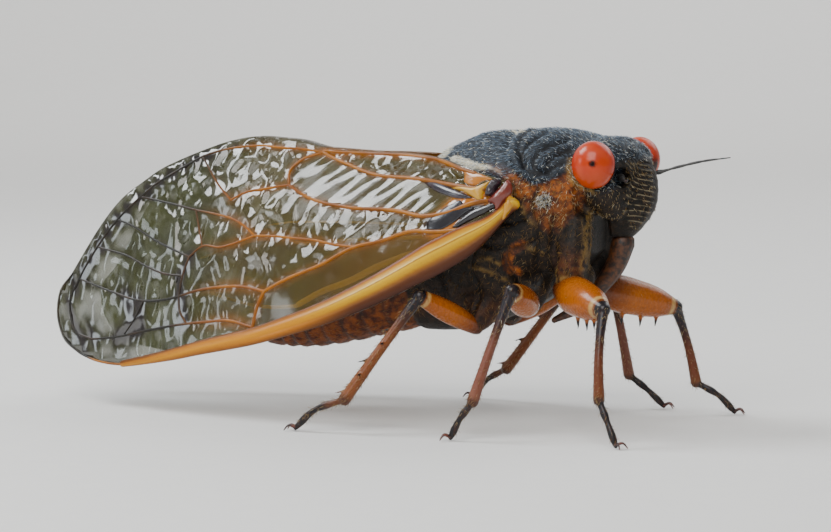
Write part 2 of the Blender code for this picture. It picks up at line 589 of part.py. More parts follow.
class Roof:
    """The folded wings' surface: a bowed sheet between the ridge and the low costal line."""

    def __init__(self):
        self.ridge_height, self.ridge_out = curve_through(ROOF_RIDGE_HEIGHT), curve_through(ROOF_RIDGE_OUT)
        self.low_height, self.low_out = curve_through(ROOF_LOW_HEIGHT), curve_through(ROOF_LOW_OUT)

    def flat(self, x, z):
        """Turns a side-view place into a place on the flattened sheet."""
        share = (self.ridge_height(x) - z) / (self.ridge_height(x) - self.low_height(x))
        lean = 1 - ROOF_BOW
        down = (math.sqrt(lean * lean + 4 * ROOF_BOW * max(share, 0.0)) - lean) / (2 * ROOF_BOW)
        return np.array((x, down * ROOF_LEVEL_STRETCH))

    def point(self, x, level, side, out):
        """The place in space of a flattened place, moved outwards from the sheet by out."""
        down = level / ROOF_LEVEL_STRETCH
        middle = self.sheet(x, down)
        along = self.sheet(x + 0.05, down) - self.sheet(x - 0.05, down)
        across = self.sheet(x, down + 0.01) - self.sheet(x, down - 0.01)
        normal = np.cross(along, across)
        normal /= np.linalg.norm(normal)
        if normal[1] < 0:
            normal = -normal
        place = middle + out * normal
        return Vector((place[0], side * place[1], place[2]))

    def sheet(self, x, down):
        out = self.ridge_out(x) + (self.low_out(x) - self.ridge_out(x)) * down * (1 + ROOF_BOW * (1 - down))
        height = self.ridge_height(x) - ((self.ridge_height(x) - self.low_height(x))
                                         * down * (1 - ROOF_BOW * (1 - down)))
        return np.array((x, out, height))


ROOF = Roof()


def distance_to_line(place, line):
    """How far a flat place lies from a bent line."""
    best = 1e9
    for start, end in zip(line, line[1:]):
        span = end - start
        t = min(max(float(np.dot(place - start, span) / np.dot(span, span)), 0.0), 1.0)
        best = min(best, float(np.linalg.norm(place - start - t * span)))
    return best


def wing_solid(name, side, edges, veins, costa, depth, half_thickness, rise, costa_rise):
    """A bowed membrane with its veins raised in both faces, which are split into triangles alike."""
    outline = []
    for edge in edges:
        outline += bent_line([ROOF.flat(x, z) for x, z in edge], EDGE_STEP)
    crests = [bent_line([ROOF.flat(x, z) for x, z in vein], VEIN_STEP) for vein in veins]
    costa_line = bent_line([ROOF.flat(x, z) - np.array((0.0, COSTA_CREST)) for x, z in costa], EDGE_STEP)

    points = list(outline)
    lines = [(i, (i + 1) % len(outline)) for i in range(len(outline))]
    ring = outline + outline[:1]

    def clear_of(place, others, least):
        return all(np.linalg.norm(place - other) > least for other in others)

    def inside(place):
        odd = False
        for start, end in zip(outline, outline[1:] + outline[:1]):
            if (start[1] > place[1]) != (end[1] > place[1]):
                crossing = start[0] + (place[1] - start[1]) / (end[1] - start[1]) * (end[0] - start[0])
                if place[0] < crossing:
                    odd = not odd
        return odd

    def within(place, gap):
        return inside(place) and distance_to_line(place, ring) > gap

    for crest in crests + [costa_line[1:-1]]:
        first = None
        for place in crest:
            if not within(place, RIM_GAP):
                first = None
                continue
            near = [i for i, other in enumerate(points) if np.linalg.norm(place - other) < CREST_GAP]
            if near:
                index = near[0]
            else:
                index = len(points)
                points.append(place)
            if first is not None and first != index:
                lines.append((first, index))
            first = index
    for crest in crests:
        for start, end in zip(crest, crest[1:]):
            along = (end - start) / np.linalg.norm(end - start)
            off = np.array((-along[1], along[0])) * VEIN_HALF_WIDTH
            middle = 0.5 * (start + end)
            for place in (start + off, start - off, middle + off, middle - off):
                alone = all(distance_to_line(place, other) > OTHER_VEIN_SHARE * VEIN_HALF_WIDTH
                            for other in crests)
                if alone and within(place, RIM_GAP) and clear_of(place, points, FOOT_OF_VEIN_GAP):
                    points.append(place)
    for start, end in zip(costa_line, costa_line[1:]):
        along = (end - start) / np.linalg.norm(end - start)
        place = start + np.array((along[1], -along[0])) * COSTA_HALF_WIDTH
        if within(place, RIM_GAP) and clear_of(place, points, FOOT_OF_COSTA_GAP):
            points.append(place)
    low = [min(place[axis] for place in outline) for axis in (0, 1)]
    high = [max(place[axis] for place in outline) for axis in (0, 1)]
    for i in range(int((high[0] - low[0]) / MEMBRANE_STEP) + 1):
        for j in range(int((high[1] - low[1]) / MEMBRANE_STEP) + 1):
            place = np.array((low[0] + (i + 0.5 * (j % 2)) * MEMBRANE_STEP, low[1] + j * MEMBRANE_STEP))
            if within(place, MEMBRANE_RIM_GAP) and clear_of(place, points, MEMBRANE_GAP):
                points.append(place)

    net = delaunay_2d_cdt([Vector(place) for place in points], lines, [], 0, MEMBRANE_WELD, False)
    verts = net[0]
    faces = [face for face in net[2] if inside(np.mean([verts[i] for i in face], axis=0))]
    sides = {(a, b) for face in faces for a, b in zip(face, face[1:] + face[:1])}
    rim = [(a, b) for a, b in sides if (b, a) not in sides]

    def thickness(place):
        at = np.array(place)
        vein = min(distance_to_line(at, crest) for crest in crests)
        raised = rise * max(0.0, 1 - vein / VEIN_HALF_WIDTH)
        edge = costa_rise * max(0.0, 1 - distance_to_line(at, costa_line) / COSTA_HALF_WIDTH)
        return half_thickness + max(raised, edge)

    work = bmesh.new()
    sheets = []
    for direction in (1, -1):
        sheets.append([work.verts.new(ROOF.point(vert[0], vert[1], side, direction * thickness(vert) - depth))
                       for vert in verts])
    for face in faces:
        work.faces.new([sheets[0][i] for i in face])
        work.faces.new([sheets[1][i] for i in reversed(face)])
    for a, b in rim:
        work.faces.new((sheets[0][b], sheets[0][a], sheets[1][a]))
        work.faces.new((sheets[0][b], sheets[1][a], sheets[1][b]))
    bmesh.ops.recalc_face_normals(work, faces=work.faces)
    mesh = bpy.data.meshes.new(name)
    work.to_mesh(mesh)
    work.free()
    return add_object(name, mesh, wing_membrane())


def make_wings():
    for word, side in SIDES:
        wing_solid("forewing_" + word, side,
                   (COSTA_EDGE, WING_TIP_EDGE, WING_INNER_EDGE), FOREWING_VEINS, COSTA_EDGE,
                   0.0, FOREWING_HALF_THICKNESS, VEIN_RISE, COSTA_RISE)
        wing_solid("hindwing_" + word, side,
                   (HINDWING_FRONT_EDGE, HINDWING_TIP_EDGE, HINDWING_INNER_EDGE), HINDWING_VEINS,
                   HINDWING_FRONT_EDGE, HINDWING_DEPTH, HINDWING_HALF_THICKNESS, HINDWING_VEIN_RISE, 0.0)


def flatten_sole(target):
    """Cuts a foot level with the floor."""
    work = bmesh.new()
    work.from_mesh(target.data)
    cut = bmesh.ops.bisect_plane(work, geom=work.verts[:] + work.edges[:] + work.faces[:],
                                 dist=FLOOR_CUT_DISTANCE, plane_co=(0, 0, 0), plane_no=(0, 0, -1),
                                 clear_outer=True)
    edges = [item for item in cut["geom_cut"] if isinstance(item, bmesh.types.BMEdge)]
    bmesh.ops.holes_fill(work, edges=edges, sides=0)
    bmesh.ops.triangulate(work, faces=work.faces)
    work.to_mesh(target.data)
    work.free()
    keep_largest(target)


def on_side(point, side):
    return Vector((point[0], side * point[1], point[2]))


def femur_solid(name, leg, side, hip, knee, grow=0.0):
    hip, knee = on_side(hip, side), on_side(knee, side)
    way = (knee - hip).normalized()
    start, end = hip + FEMUR_START[leg] * way, knee - FEMUR_STOP * way
    path = [start.lerp(end, share) for share in FEMUR_SHARES]
    femur = rounded_limb(name, path, FEMUR_RADII[leg], FEMUR_SIDES, leg_orange(), grow)
    if leg != "front" or grow:
        return femur
    under = Vector((0, 0, -1)) + way.z * way
    under.normalize()
    thickest = max(FEMUR_RADII[leg])
    spines = []
    for share, size in FEMUR_SPINES:
        centre = start.lerp(end, share)
        root = centre + FEMUR_SPINE_DEPTH * thickest * under
        reach = FEMUR_SPINE_REACH * thickest + FEMUR_SPINE_LENGTH * size
        tip = centre + reach * under + FEMUR_SPINE_LEAN * size * way
        radius = FEMUR_SPINE_RADIUS[0] + FEMUR_SPINE_RADIUS[1] * size
        spines.append(spike("spine", root, tip, radius, leg_dark()))
    return apply_boolean(femur, "UNION", spines)


def shin_solid(name, leg, side, knee, ankle, grow=0.0):
    knee, ankle = on_side(knee, side), on_side(ankle, side)
    way = (ankle - knee).normalized()
    outward = Vector((0, side, 0)) - side * way.y * way
    bow = SHIN_BOW[leg] * outward
    path = [knee] + [knee.lerp(ankle, share) + bow for share in SHIN_SHARES] + [ankle]
    shin = rounded_limb(name, path, SHIN_RADII[leg], SHIN_SIDES, leg_dark(), grow)
    if leg != "hind" or grow:
        return shin
    spines = []
    for k, share in enumerate(SHIN_SPINES):
        lean = outward if k % 2 else Vector((-1, 0, 0))
        root = knee.lerp(ankle, share) + SHIN_SPINE_DEPTH * bow
        tip = root + SHIN_SPINE_LENGTH * lean + SHIN_SPINE_LEAN * way
        spines.append(spike("spine", root, tip, SHIN_SPINE_RADIUS, leg_dark()))
    return apply_boolean(shin, "UNION", spines)


def foot_solid(name, side, ankle, bend, tip):
    """A foot of one bent tube with two hooked claws, cut level where it stands on the floor."""
    ankle, bend, tip = on_side(ankle, side), on_side(bend, side), on_side(tip, side)
    path = bent_line((ankle, bend, tip - Vector((0, 0, SOLE_SINK))), FOOT_STEP)
    foot = rounded_limb(name, path, radii_along(FOOT_RADII, len(path)), FOOT_SIDES, leg_dark())
    heading = Vector((tip.x - ankle.x, tip.y - ankle.y, 0)).normalized()
    sideways = Vector((-heading.y, heading.x, 0))
    claws = []
    for spread in (-1, 1):
        knuckle = tip + CLAW_ASIDE[0] * spread * sideways
        hook = tip + CLAW_AHEAD * heading + CLAW_ASIDE[1] * spread * sideways
        hook.z = CLAW_TIP_HEIGHT
        middle = knuckle.lerp(hook, 0.5) + Vector((0, 0, CLAW_ARCH))
        rings = tube_rings((knuckle, middle, hook), CLAW_RADII, CLAW_SIDES)
        claws.append(solid_from_rings("claw", rings, leg_dark()))
    return apply_boolean(foot, "UNION", claws)


def make_legs():
    """Six legs, each of coxa, femur, shin and foot. Each piece is hollowed for the one it hangs on."""
    for leg, side, hip, knee, ankle, bend, tip in LEGS:
        name = leg + "_{}_" + ("right" if side == RIGHT else "left")
        coxa_solid(name.format("coxa"), leg, side, hip)
        femur = femur_solid(name.format("femur"), leg, side, hip, knee)
        apply_boolean(femur, "DIFFERENCE", [coxa_solid("cut", leg, side, hip, GAP)])
        shin = shin_solid(name.format("shin"), leg, side, knee, ankle)
        apply_boolean(shin, "DIFFERENCE", [femur_solid("cut", leg, side, hip, knee, GAP)])
        foot = foot_solid(name.format("foot"), side, ankle, bend, tip)
        apply_boolean(foot, "DIFFERENCE", [shin_solid("cut", leg, side, knee, ankle, GAP)])
        flatten_sole(foot)


def finish_parts():
    """Turns millimetres into metres and shades the round pieces smooth."""
    for made in bpy.context.scene.objects:
        for vert in made.data.vertices:
            vert.co *= METRE_PER_MM
        made.data.shade_smooth()
        made.data.set_sharp_from_angle(angle=math.radians(SHARP_ANGLE))


def main():
    for old in list(bpy.data.objects):
        bpy.data.objects.remove(old)
    make_torso()
    make_head()
    make_abdomen()
    make_wings()
    make_legs()
    finish_parts()


main()
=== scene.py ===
"""The looks of a life-size periodical cicada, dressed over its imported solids.

Lengths are in millimetres, in the frame of the solids: the head points to +X, the insect's left
side is +Y, up is +Z and the floor is z = 0. The finished meshes are scaled to metres.
"""

import math

import bpy
import numpy as np
from mathutils import Matrix, Vector
from mathutils.geometry import delaunay_2d_cdt


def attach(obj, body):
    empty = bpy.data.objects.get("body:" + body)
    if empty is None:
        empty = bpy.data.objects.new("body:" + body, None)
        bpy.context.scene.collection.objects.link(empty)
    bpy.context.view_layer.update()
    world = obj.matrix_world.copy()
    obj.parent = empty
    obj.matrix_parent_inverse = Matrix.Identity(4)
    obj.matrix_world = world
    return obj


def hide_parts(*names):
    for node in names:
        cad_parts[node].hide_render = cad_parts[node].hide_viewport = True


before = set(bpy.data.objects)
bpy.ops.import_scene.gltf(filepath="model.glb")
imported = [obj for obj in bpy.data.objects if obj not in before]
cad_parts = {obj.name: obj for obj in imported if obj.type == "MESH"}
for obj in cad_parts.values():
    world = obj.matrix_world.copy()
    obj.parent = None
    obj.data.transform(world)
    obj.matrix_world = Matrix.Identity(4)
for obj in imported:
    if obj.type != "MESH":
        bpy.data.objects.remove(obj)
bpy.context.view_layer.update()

MM = 0.001
RIGHT, LEFT = -1, 1
SIDES = (("right", RIGHT), ("left", LEFT))
SIDE_WORDS = {RIGHT: "right", LEFT: "left"}

# How far apart the points of the body's bent lines lie
LINE_STEP = 0.3

# Camera
CAMERA_TARGET = (2.5, 0.0, 9.4)
CAMERA_AZIMUTH = 25.0
CAMERA_ELEVATION = 4.7
CAMERA_DISTANCE = 180.0
FOCAL_PIXELS = 2880.0
PICTURE_WIDTH = 831.0
SENSOR_WIDTH = 36.0
STUDIO_PROFILE = ((0.02, 0.0), (0.2, 0.0), (0.45, 0.0), (0.56, 0.01), (0.68, 0.05), (0.78, 0.13),
                  (0.85, 0.25), (0.9, 0.45), (0.92, 0.9))

# Body skin
SKIN_VOXEL = 0.13
SKIN_REACH = 0.2
FLESH_NODES = ["pronotum", "mesonotum", "thorax", "head", "face", "abdomen", "abdomen_tip"]
FLESH_NODES += [leg + "_coxa_" + word for leg in ("front", "mid", "hind") for word, side in SIDES]

# Shields and grooves in side view, as place and height
PRONOTUM_EDGE = ((10.0, 18.3), (10.15, 17.2), (10.7, 16.2), (11.3, 15.5), (12.4, 14.9), (13.4, 15.2),
                 (14.6, 15.8))
COLLAR_WIDTH = 0.55
PRONOTUM_FURROWS = (
    ((13.7, 17.5), (13.0, 17.3), (12.4, 16.8), (12.2, 16.2), (12.6, 15.7), (13.3, 15.6)),
    ((12.0, 17.9), (11.5, 17.3), (11.3, 16.6), (11.6, 16.0)),
    ((14.2, 16.9), (13.5, 16.7), (13.1, 16.3)),
)
THORAX_SEAMS = (
    ((12.6, 14.7), (12.2, 13.4), (12.6, 12.0), (12.2, 10.4), (11.8, 8.9)),
    ((12.2, 13.2), (10.9, 12.6), (9.6, 12.8)),
    ((12.5, 11.6), (11.0, 11.0), (9.3, 11.2), (7.6, 11.5)),
    ((10.6, 11.1), (10.3, 10.1), (10.8, 9.0), (10.6, 7.9)),
    ((8.4, 11.2), (8.0, 9.8), (8.3, 8.4), (7.9, 7.2)),
    ((6.2, 11.6), (5.6, 9.9), (5.9, 8.2), (5.5, 6.6)),
    ((13.45, 13.0), (13.3, 11.6), (13.35, 10.2), (13.1, 8.9)),
    ((15.45, 13.3), (15.55, 11.6), (15.35, 9.9)),
)
GOLDEN_RIDGES = (
    ((15.1, 13.2), (15.2, 11.6), (15.0, 9.9)),
    ((11.7, 11.2), (12.2, 10.95), (12.8, 10.85)),
    ((7.9, 9.8), (9.0, 9.65), (10.1, 9.1)),
    ((8.6, 10.3), (9.3, 10.4), (9.9, 10.1)),
    ((11.6, 13.6), (11.9, 12.9), (12.5, 12.5)),
)
MESONOTUM_PALE_EDGE = ((4.8, -1.2, 16.6), (5.9, -1.7, 16.3), (8.0, -3.3, 15.9), (10.0, -4.0, 15.6),
                       (11.0, -4.5, 15.2))
SCUTELLUM_END = (4.7, 0.0, 16.6)
SCUTELLUM_RADII = (1.0, 1.9, 0.8)
PALE_FLECK = ((9.4, 0.5, 17.95), (10.3, 1.3, 17.8))
CHEEK_PATCH = ((11.5, 15.3), (15.2, 15.6), (14.6, 13.4), (13.3, 12.1), (12.1, 13.1))
CHEEK_BLOT = (13.0, 4.5, 14.0)
WING_ROOT_PATCH = (11.4, 4.7, 14.9)
SIDE_CRESCENT = ((11.45, 11.3), (10.85, 10.95), (10.48, 10.35), (10.45, 9.8), (10.9, 9.6))
HIP_RING = (14.05, 3.3, 9.2)
HIP_KNOB = (14.75, 2.1, 9.35)
HIP_KNOB_RADII = (0.62, 0.6, 0.75)
FACE_HIGH = 16.6
FACE_GROOVE_STEP = 0.31
FACE_START = 16.75
SEGMENT_RINGS = (1.5, 0.0, -1.5, -2.9, -4.2, -5.3, -6.3)

# Eyes
EYE_PLACE = (15.9, 3.85, 16.15)
EYE_RADII = (1.3, 1.26, 1.42)
EYE_SPOT = (0.4, -1.18, 0.12)
EYE_SPOT_RADIUS = 0.22
SOCKET_LIP = 1.035

# Legs: the hip, the knee, the ankle, and the foot's bend and tip, with +Y outwards on either side
LEGS = (
    ("front", RIGHT, (14.0, 2.95, 8.45), (17.6, 6.5, 7.85), (17.95, 8.0, 2.75),
     (18.6, 8.3, 1.5), (19.2, 8.5, 0.3)),
    ("front", LEFT, (14.0, 2.95, 8.1), (17.4, 6.5, 6.85), (18.25, 8.0, 2.0),
     (19.7, 8.4, 1.15), (20.6, 8.6, 0.3)),
    ("mid", RIGHT, (11.4, 2.7, 7.4), (12.0, 7.0, 8.75), (10.4, 9.0, 2.35),
     (9.7, 9.3, 1.3), (9.2, 9.5, 0.3)),
    ("mid", LEFT, (11.5, 2.7, 7.5), (12.9, 6.9, 8.3), (13.4, 8.9, 2.15),
     (14.7, 9.2, 1.1), (15.6, 9.4, 0.3)),
    ("hind", RIGHT, (7.8, 2.8, 6.1), (5.75, 6.4, 8.15), (2.1, 9.2, 2.05),
     (0.1, 9.5, 1.25), (-1.0, 9.6, 0.3)),
    ("hind", LEFT, (7.8, 2.8, 6.1), (10.2, 5.9, 7.7), (5.2, 8.2, 2.2),
     (3.4, 8.8, 1.2), (2.5, 9.0, 0.3)),
)
THIGH_START = {"front": -0.55, "mid": -0.1, "hind": -0.1}
THIGH_RADII = {"front": (0.78, 1.15, 1.12, 0.92, 0.5), "mid": (0.52, 0.85, 0.88, 0.72, 0.46),
               "hind": (0.48, 0.62, 0.68, 0.6, 0.45)}
SHIN_RADII = {"front": (0.38, 0.31, 0.29, 0.35), "mid": (0.4, 0.33, 0.3, 0.36),
              "hind": (0.4, 0.33, 0.33, 0.38)}
SHIN_BOW = {"front": 0.35, "mid": 0.12, "hind": 0.1}
SHIN_BLACK_SHARE = {"front": 0.34, "mid": 0.3, "hind": 0.16}
FOOT_RADII = (0.23, 0.2, 0.24, 0.18, 0.21, 0.23, 0.15)
THIGH_SPINES = ((0.36, 1.0), (0.6, 0.8), (0.8, 0.45))
SHIN_SPINES = (0.3, 0.45, 0.6, 0.75, 0.9)
LEG_VOXEL = 0.065

# Feelers and beak
FEELERS = {"left": ((17.0, 2.15, 15.35), (17.6, 2.4, 15.45), (18.8, 2.8, 15.8), (20.2, 3.2, 16.15),
                    (21.9, 3.5, 16.4)),
           "right": ((17.0, 2.15, 15.35), (17.3, 2.75, 15.3), (17.9, 3.9, 15.25), (18.5, 5.2, 15.3),
                     (19.1, 6.5, 15.5))}
BEAK = ((16.35, 0.0, 11.3), (15.9, 0.0, 10.0), (14.9, 0.0, 8.6), (13.4, 0.0, 7.2), (11.9, 0.0, 6.4))
BEAK_RADII = (0.72, 0.6, 0.48, 0.38, 0.2)

# Roof of the folded wings: the ridge where the inner edges lie, and the low line of the costal edges
ROOF_RIDGE_HEIGHT = ((-22.6, 17.5), (-9.0, 17.4), (-7.0, 17.4), (-5.0, 17.2), (-3.5, 16.85), (-1.0, 16.65),
                     (3.0, 16.6), (5.2, 16.4), (7.0, 16.1), (9.0, 15.65), (11.4, 15.1))
ROOF_RIDGE_OUT = ((-22.6, 0.56), (0.0, 0.56), (3.0, 0.85), (4.6, 1.5), (6.0, 2.7), (7.5, 3.8), (9.0, 4.6),
                  (11.4, 5.05))
ROOF_LOW_HEIGHT = ((-22.6, 2.0), (-17.0, 2.4), (-11.0, 3.4), (-5.4, 4.7), (-1.7, 5.9), (1.9, 7.2), (5.3, 8.8),
                   (7.5, 10.1), (9.6, 11.6), (11.4, 13.2))
ROOF_LOW_OUT = ((-22.6, 3.0), (-17.0, 4.4), (-11.0, 5.9), (-5.4, 6.9), (-1.0, 7.2), (3.0, 7.1), (6.0, 6.7),
                (9.0, 5.9), (11.4, 5.2))
ROOF_BOW = 0.35
ROOF_LEVEL_STRETCH = 11.0

# Forewing outline and veins in side view, as place and height
COSTA_EDGE = ((11.3, 13.4), (9.7, 11.4), (7.7, 9.9), (5.6, 8.8), (3.8, 7.9), (1.2, 6.8), (-1.1, 6.0),
              (-3.0, 5.45), (-5.4, 4.8), (-7.3, 4.4), (-9.5, 3.95), (-11.5, 3.5), (-13.6, 3.1),
              (-16.0, 2.7))
WING_TIP_EDGE = ((-17.9, 2.75), (-20.1, 3.3), (-21.5, 4.3), (-22.0, 5.6), (-21.9, 7.0), (-20.9, 8.3),
                 (-19.9, 9.8), (-19.0, 11.2), (-18.0, 12.6), (-15.9, 14.4), (-14.5, 15.3), (-13.0, 16.0),
                 (-11.7, 16.5), (-10.3, 17.0), (-9.1, 17.25), (-7.3, 17.3), (-5.3, 17.1), (-3.5, 16.7))
WING_INNER_EDGE = ((-1.0, 16.55), (1.8, 16.5), (4.4, 16.35), (5.8, 16.2), (7.5, 15.9), (9.3, 15.5),
                   (11.3, 15.0))
CLAVAL_VEIN = ((-3.5, 16.4), (-1.5, 15.75), (1.3, 15.1), (3.9, 15.0), (7.3, 14.75), (9.4, 14.6))
CUBITAL_VEIN = ((-4.9, 14.4), (-4.5, 14.2), (-3.0, 13.6), (-0.3, 13.2), (3.4, 13.1), (5.6, 12.9), (7.3, 13.2),
                (8.9, 13.8), (10.4, 14.1))
CUBITAL_LOOP = ((-4.9, 14.4), (-5.2, 15.2), (-4.7, 15.9), (-3.5, 16.4))
CUBITAL_OUTER = ((-4.9, 14.4), (-6.8, 14.1), (-7.9, 13.9), (-8.9, 13.4))
MEDIAL_VEIN = ((8.6, 12.3), (6.3, 12.0), (5.0, 12.0), (2.7, 11.3), (1.0, 10.9), (-1.2, 9.75),
               (-3.5, 8.8), (-5.0, 8.0))
MEDIAL_UPPER = ((1.0, 10.9), (-0.6, 11.0), (-2.2, 11.2), (-4.4, 11.3), (-6.5, 11.3))
NODE_VEIN = ((-5.0, 8.0), (-5.3, 7.2), (-5.5, 5.8), (-5.6, 5.2))
RADIAL_VEIN = ((-5.0, 8.0), (-6.7, 8.2), (-8.4, 8.1), (-10.2, 7.8), (-12.2, 7.2), (-15.0, 6.9), (-17.3, 7.3),
               (-20.2, 8.0))
SUBCOSTAL_VEIN = ((-5.5, 5.8), (-7.4, 6.1), (-9.3, 5.9), (-10.8, 5.7), (-13.9, 5.1), (-16.6, 4.5),
                  (-18.8, 4.2))
CROSS_VEIN = ((-10.8, 5.7), (-11.5, 6.5), (-11.7, 7.4), (-11.6, 8.6), (-11.3, 9.8))
MEDIAL_LOWER_FORK = ((-6.5, 11.3), (-7.3, 11.0), (-9.0, 10.5), (-10.4, 10.5), (-11.3, 9.8))
MEDIAL_UPPER_FORK = ((-6.5, 11.3), (-7.3, 11.8), (-8.6, 12.3), (-9.8, 12.5), (-11.4, 12.7))
OUTER_VEINS = (
    ((-11.3, 9.8), (-14.2, 10.7), (-16.4, 11.6), (-17.5, 11.9)),
    ((-11.6, 8.6), (-13.3, 8.7), (-14.8, 9.1), (-16.2, 9.6), (-18.9, 10.1)),
    ((-11.4, 12.7), (-13.2, 13.0), (-15.9, 13.4)),
    ((-8.9, 13.4), (-10.0, 14.2), (-11.9, 16.0)),
    ((-11.4, 12.7), (-10.4, 10.5)),
    ((-14.6, 6.9), (-15.3, 5.6), (-16.0, 4.7)),
)
AMBIENT_VEIN = ((-3.5, 16.4), (-6.4, 16.65), (-8.1, 16.75), (-9.7, 16.6), (-11.9, 16.0), (-13.3, 15.2),
                (-14.8, 14.3), (-15.9, 13.4), (-17.5, 11.9), (-18.9, 10.1), (-20.2, 8.0), (-20.9, 6.4),
                (-20.5, 4.9), (-18.8, 4.2))
WING_INNER_RIM = ((-3.5, 16.5), (-1.0, 16.4), (1.8, 16.35), (4.4, 16.2), (5.8, 16.05), (7.5, 15.7),
                  (8.6, 15.5))
WING_TIP_RIM = ((-15.2, 2.84), (-17.4, 2.78), (-18.8, 2.95), (-20.1, 3.4), (-21.4, 4.4), (-21.9, 5.6),
                (-21.75, 7.0), (-20.8, 8.3))

# Each forewing vein with its radius at its first and last point
FOREWING_VEINS = (
    (CLAVAL_VEIN, 0.1, 0.17), (CUBITAL_VEIN, 0.1, 0.17), (CUBITAL_LOOP, 0.1, 0.1),
    (CUBITAL_OUTER, 0.09, 0.08), (MEDIAL_VEIN, 0.15, 0.11), (MEDIAL_UPPER, 0.1, 0.08),
    (NODE_VEIN, 0.12, 0.12), (RADIAL_VEIN, 0.11, 0.07), (SUBCOSTAL_VEIN, 0.1, 0.08),
    (CROSS_VEIN, 0.09, 0.09), (MEDIAL_LOWER_FORK, 0.08, 0.08),
    (MEDIAL_UPPER_FORK, 0.08, 0.08), (AMBIENT_VEIN, 0.09, 0.08), (WING_INNER_RIM, 0.09, 0.15),
    (WING_TIP_RIM, 0.09, 0.05),
) + tuple((vein, 0.08, 0.07) for vein in OUTER_VEINS)
COSTA_WIDTH = ((-16.0, 0.26), (-13.0, 0.5), (-10.0, 0.72), (-7.0, 0.88), (-5.5, 0.95), (-3.0, 1.15),
               (0.0, 1.45), (3.0, 1.85), (5.5, 2.15), (7.5, 2.3), (9.5, 1.9), (11.3, 1.0))
COSTA_THICKNESS = 0.3
COSTA_OVERLAP = 0.08
CUBITAL_CELL = CUBITAL_VEIN[:-2] + ((7.3, 14.7), (3.9, 15.0), (1.3, 15.1), (-1.5, 15.75), (-3.5, 16.4),
                                    (-4.7, 15.9))
TIP_SMUDGES = (((-16.0, 4.6), (-14.6, 5.4), (-15.2, 6.9)), ((-16.6, 4.4), (-15.6, 5.6), (-16.2, 7.2)),
               ((-11.2, 9.6), (-11.8, 8.4), (-11.4, 7.0), (-11.0, 5.9)))
WING_ROOT_AMBER = ((7.2, 12.6), (8.9, 14.1), (10.9, 14.3))
WING_ROOT_DARK = ((6.4, 12.5), (7.6, 13.2), (8.9, 13.3))

# Small plates of the wing root in side view, with tone from black over red to yellow, and height
WING_ROOT_PLATES = (
    (((6.0, 12.1), (5.9, 12.6), (6.5, 13.1), (7.2, 13.6), (7.9, 13.9), (8.3, 13.6), (8.9, 13.5), (8.4, 13.2),
      (7.8, 12.7), (7.2, 12.3), (6.7, 12.1)), 0.03, 0.1),
    (((7.6, 12.3), (8.1, 12.8), (8.9, 13.4), (9.7, 13.7), (10.2, 13.9), (10.3, 13.6), (9.7, 13.2),
      (9.1, 12.9), (8.5, 12.6), (7.9, 12.3)), 0.0, 0.22),
    (((4.7, 14.8), (5.7, 14.9), (7.1, 14.6), (8.2, 14.3), (8.7, 14.1), (7.7, 14.0), (6.6, 14.2), (5.5, 14.5)),
     0.12, 0.14),
    (((7.1, 14.6), (7.7, 14.7), (8.7, 14.7), (9.3, 14.9), (9.7, 15.1), (9.4, 14.3), (9.3, 13.9),
      (8.8, 14.1), (8.1, 14.4)), 1.0, 0.3),
    (((6.9, 15.9), (7.7, 15.55), (8.1, 14.9), (8.7, 14.8), (9.4, 15.1), (9.9, 15.2), (9.2, 15.45),
      (8.1, 15.6)), 0.72, 0.1),
    (((9.5, 14.2), (9.6, 14.7), (9.9, 15.1), (10.4, 15.2), (10.5, 15.0), (10.3, 14.7), (9.9, 14.2)),
     0.12, 0.5),
    (((9.7, 13.9), (10.5, 14.8), (10.9, 15.2), (11.1, 14.2), (10.7, 13.7), (10.4, 13.3), (10.1, 13.7)),
     0.4, 0.5),
    (((10.7, 13.7), (11.1, 14.1), (11.4, 13.7), (11.2, 13.3), (10.9, 12.9)), 0.9, 0.4),
)
PLATE_STEP = 0.16

# Hairs
HAIR_THICKNESS = 0.013
HAIR_SEED = 17
SWIRL_CENTRE = (13.6, 16.2)
LEG_HAIRS = {"front": 220, "mid": 240, "hind": 420}

# Hindwing, which lies under the forewing at this depth
HINDWING_DEPTH = 1.15
HINDWING_FRONT_EDGE = ((6.2, 11.8), (5.2, 10.9), (3.6, 10.1), (1.4, 9.1), (-0.9, 8.2), (-3.4, 6.75),
                       (-7.2, 6.05), (-10.0, 5.85))
HINDWING_TIP_EDGE = ((-11.6, 6.3), (-12.4, 7.6), (-12.3, 9.0), (-11.7, 10.4), (-10.2, 12.0),
                     (-7.6, 13.1), (-5.0, 13.5))
HINDWING_INNER_EDGE = ((-2.0, 13.8), (1.5, 13.8), (4.2, 13.6), (6.2, 13.2))
HINDWING_VEINS = (
    (((5.9, 11.8), (4.8, 11.2), (3.7, 10.8), (2.4, 10.3), (0.5, 9.3), (-1.5, 8.5), (-3.1, 7.6)),
     0.26, 0.2),
    (((4.8, 12.1), (2.0, 12.0), (-0.9, 11.7), (-3.7, 11.4), (-5.0, 11.6), (-8.0, 11.2), (-11.3, 10.0)),
     0.15, 0.08),
    (((4.4, 12.9), (1.0, 12.9), (-3.0, 12.8), (-6.4, 12.4)), 0.1, 0.07),
    (((-3.2, 7.5), (-5.6, 7.3), (-8.6, 7.6), (-11.6, 8.2)), 0.12, 0.08),
)
MEMBRANE_HALF_THICKNESS = 0.05
MEMBRANE_STEP = 0.28
MARGIN_NOTCH_STEP = 1.2
HINDWING_ROOT = ((5.4, 11.6), (6.0, 12.9))
VEIN_HALO = 0.22
RIPPLE_TURN = -0.815
DENT_TURN = 0.3


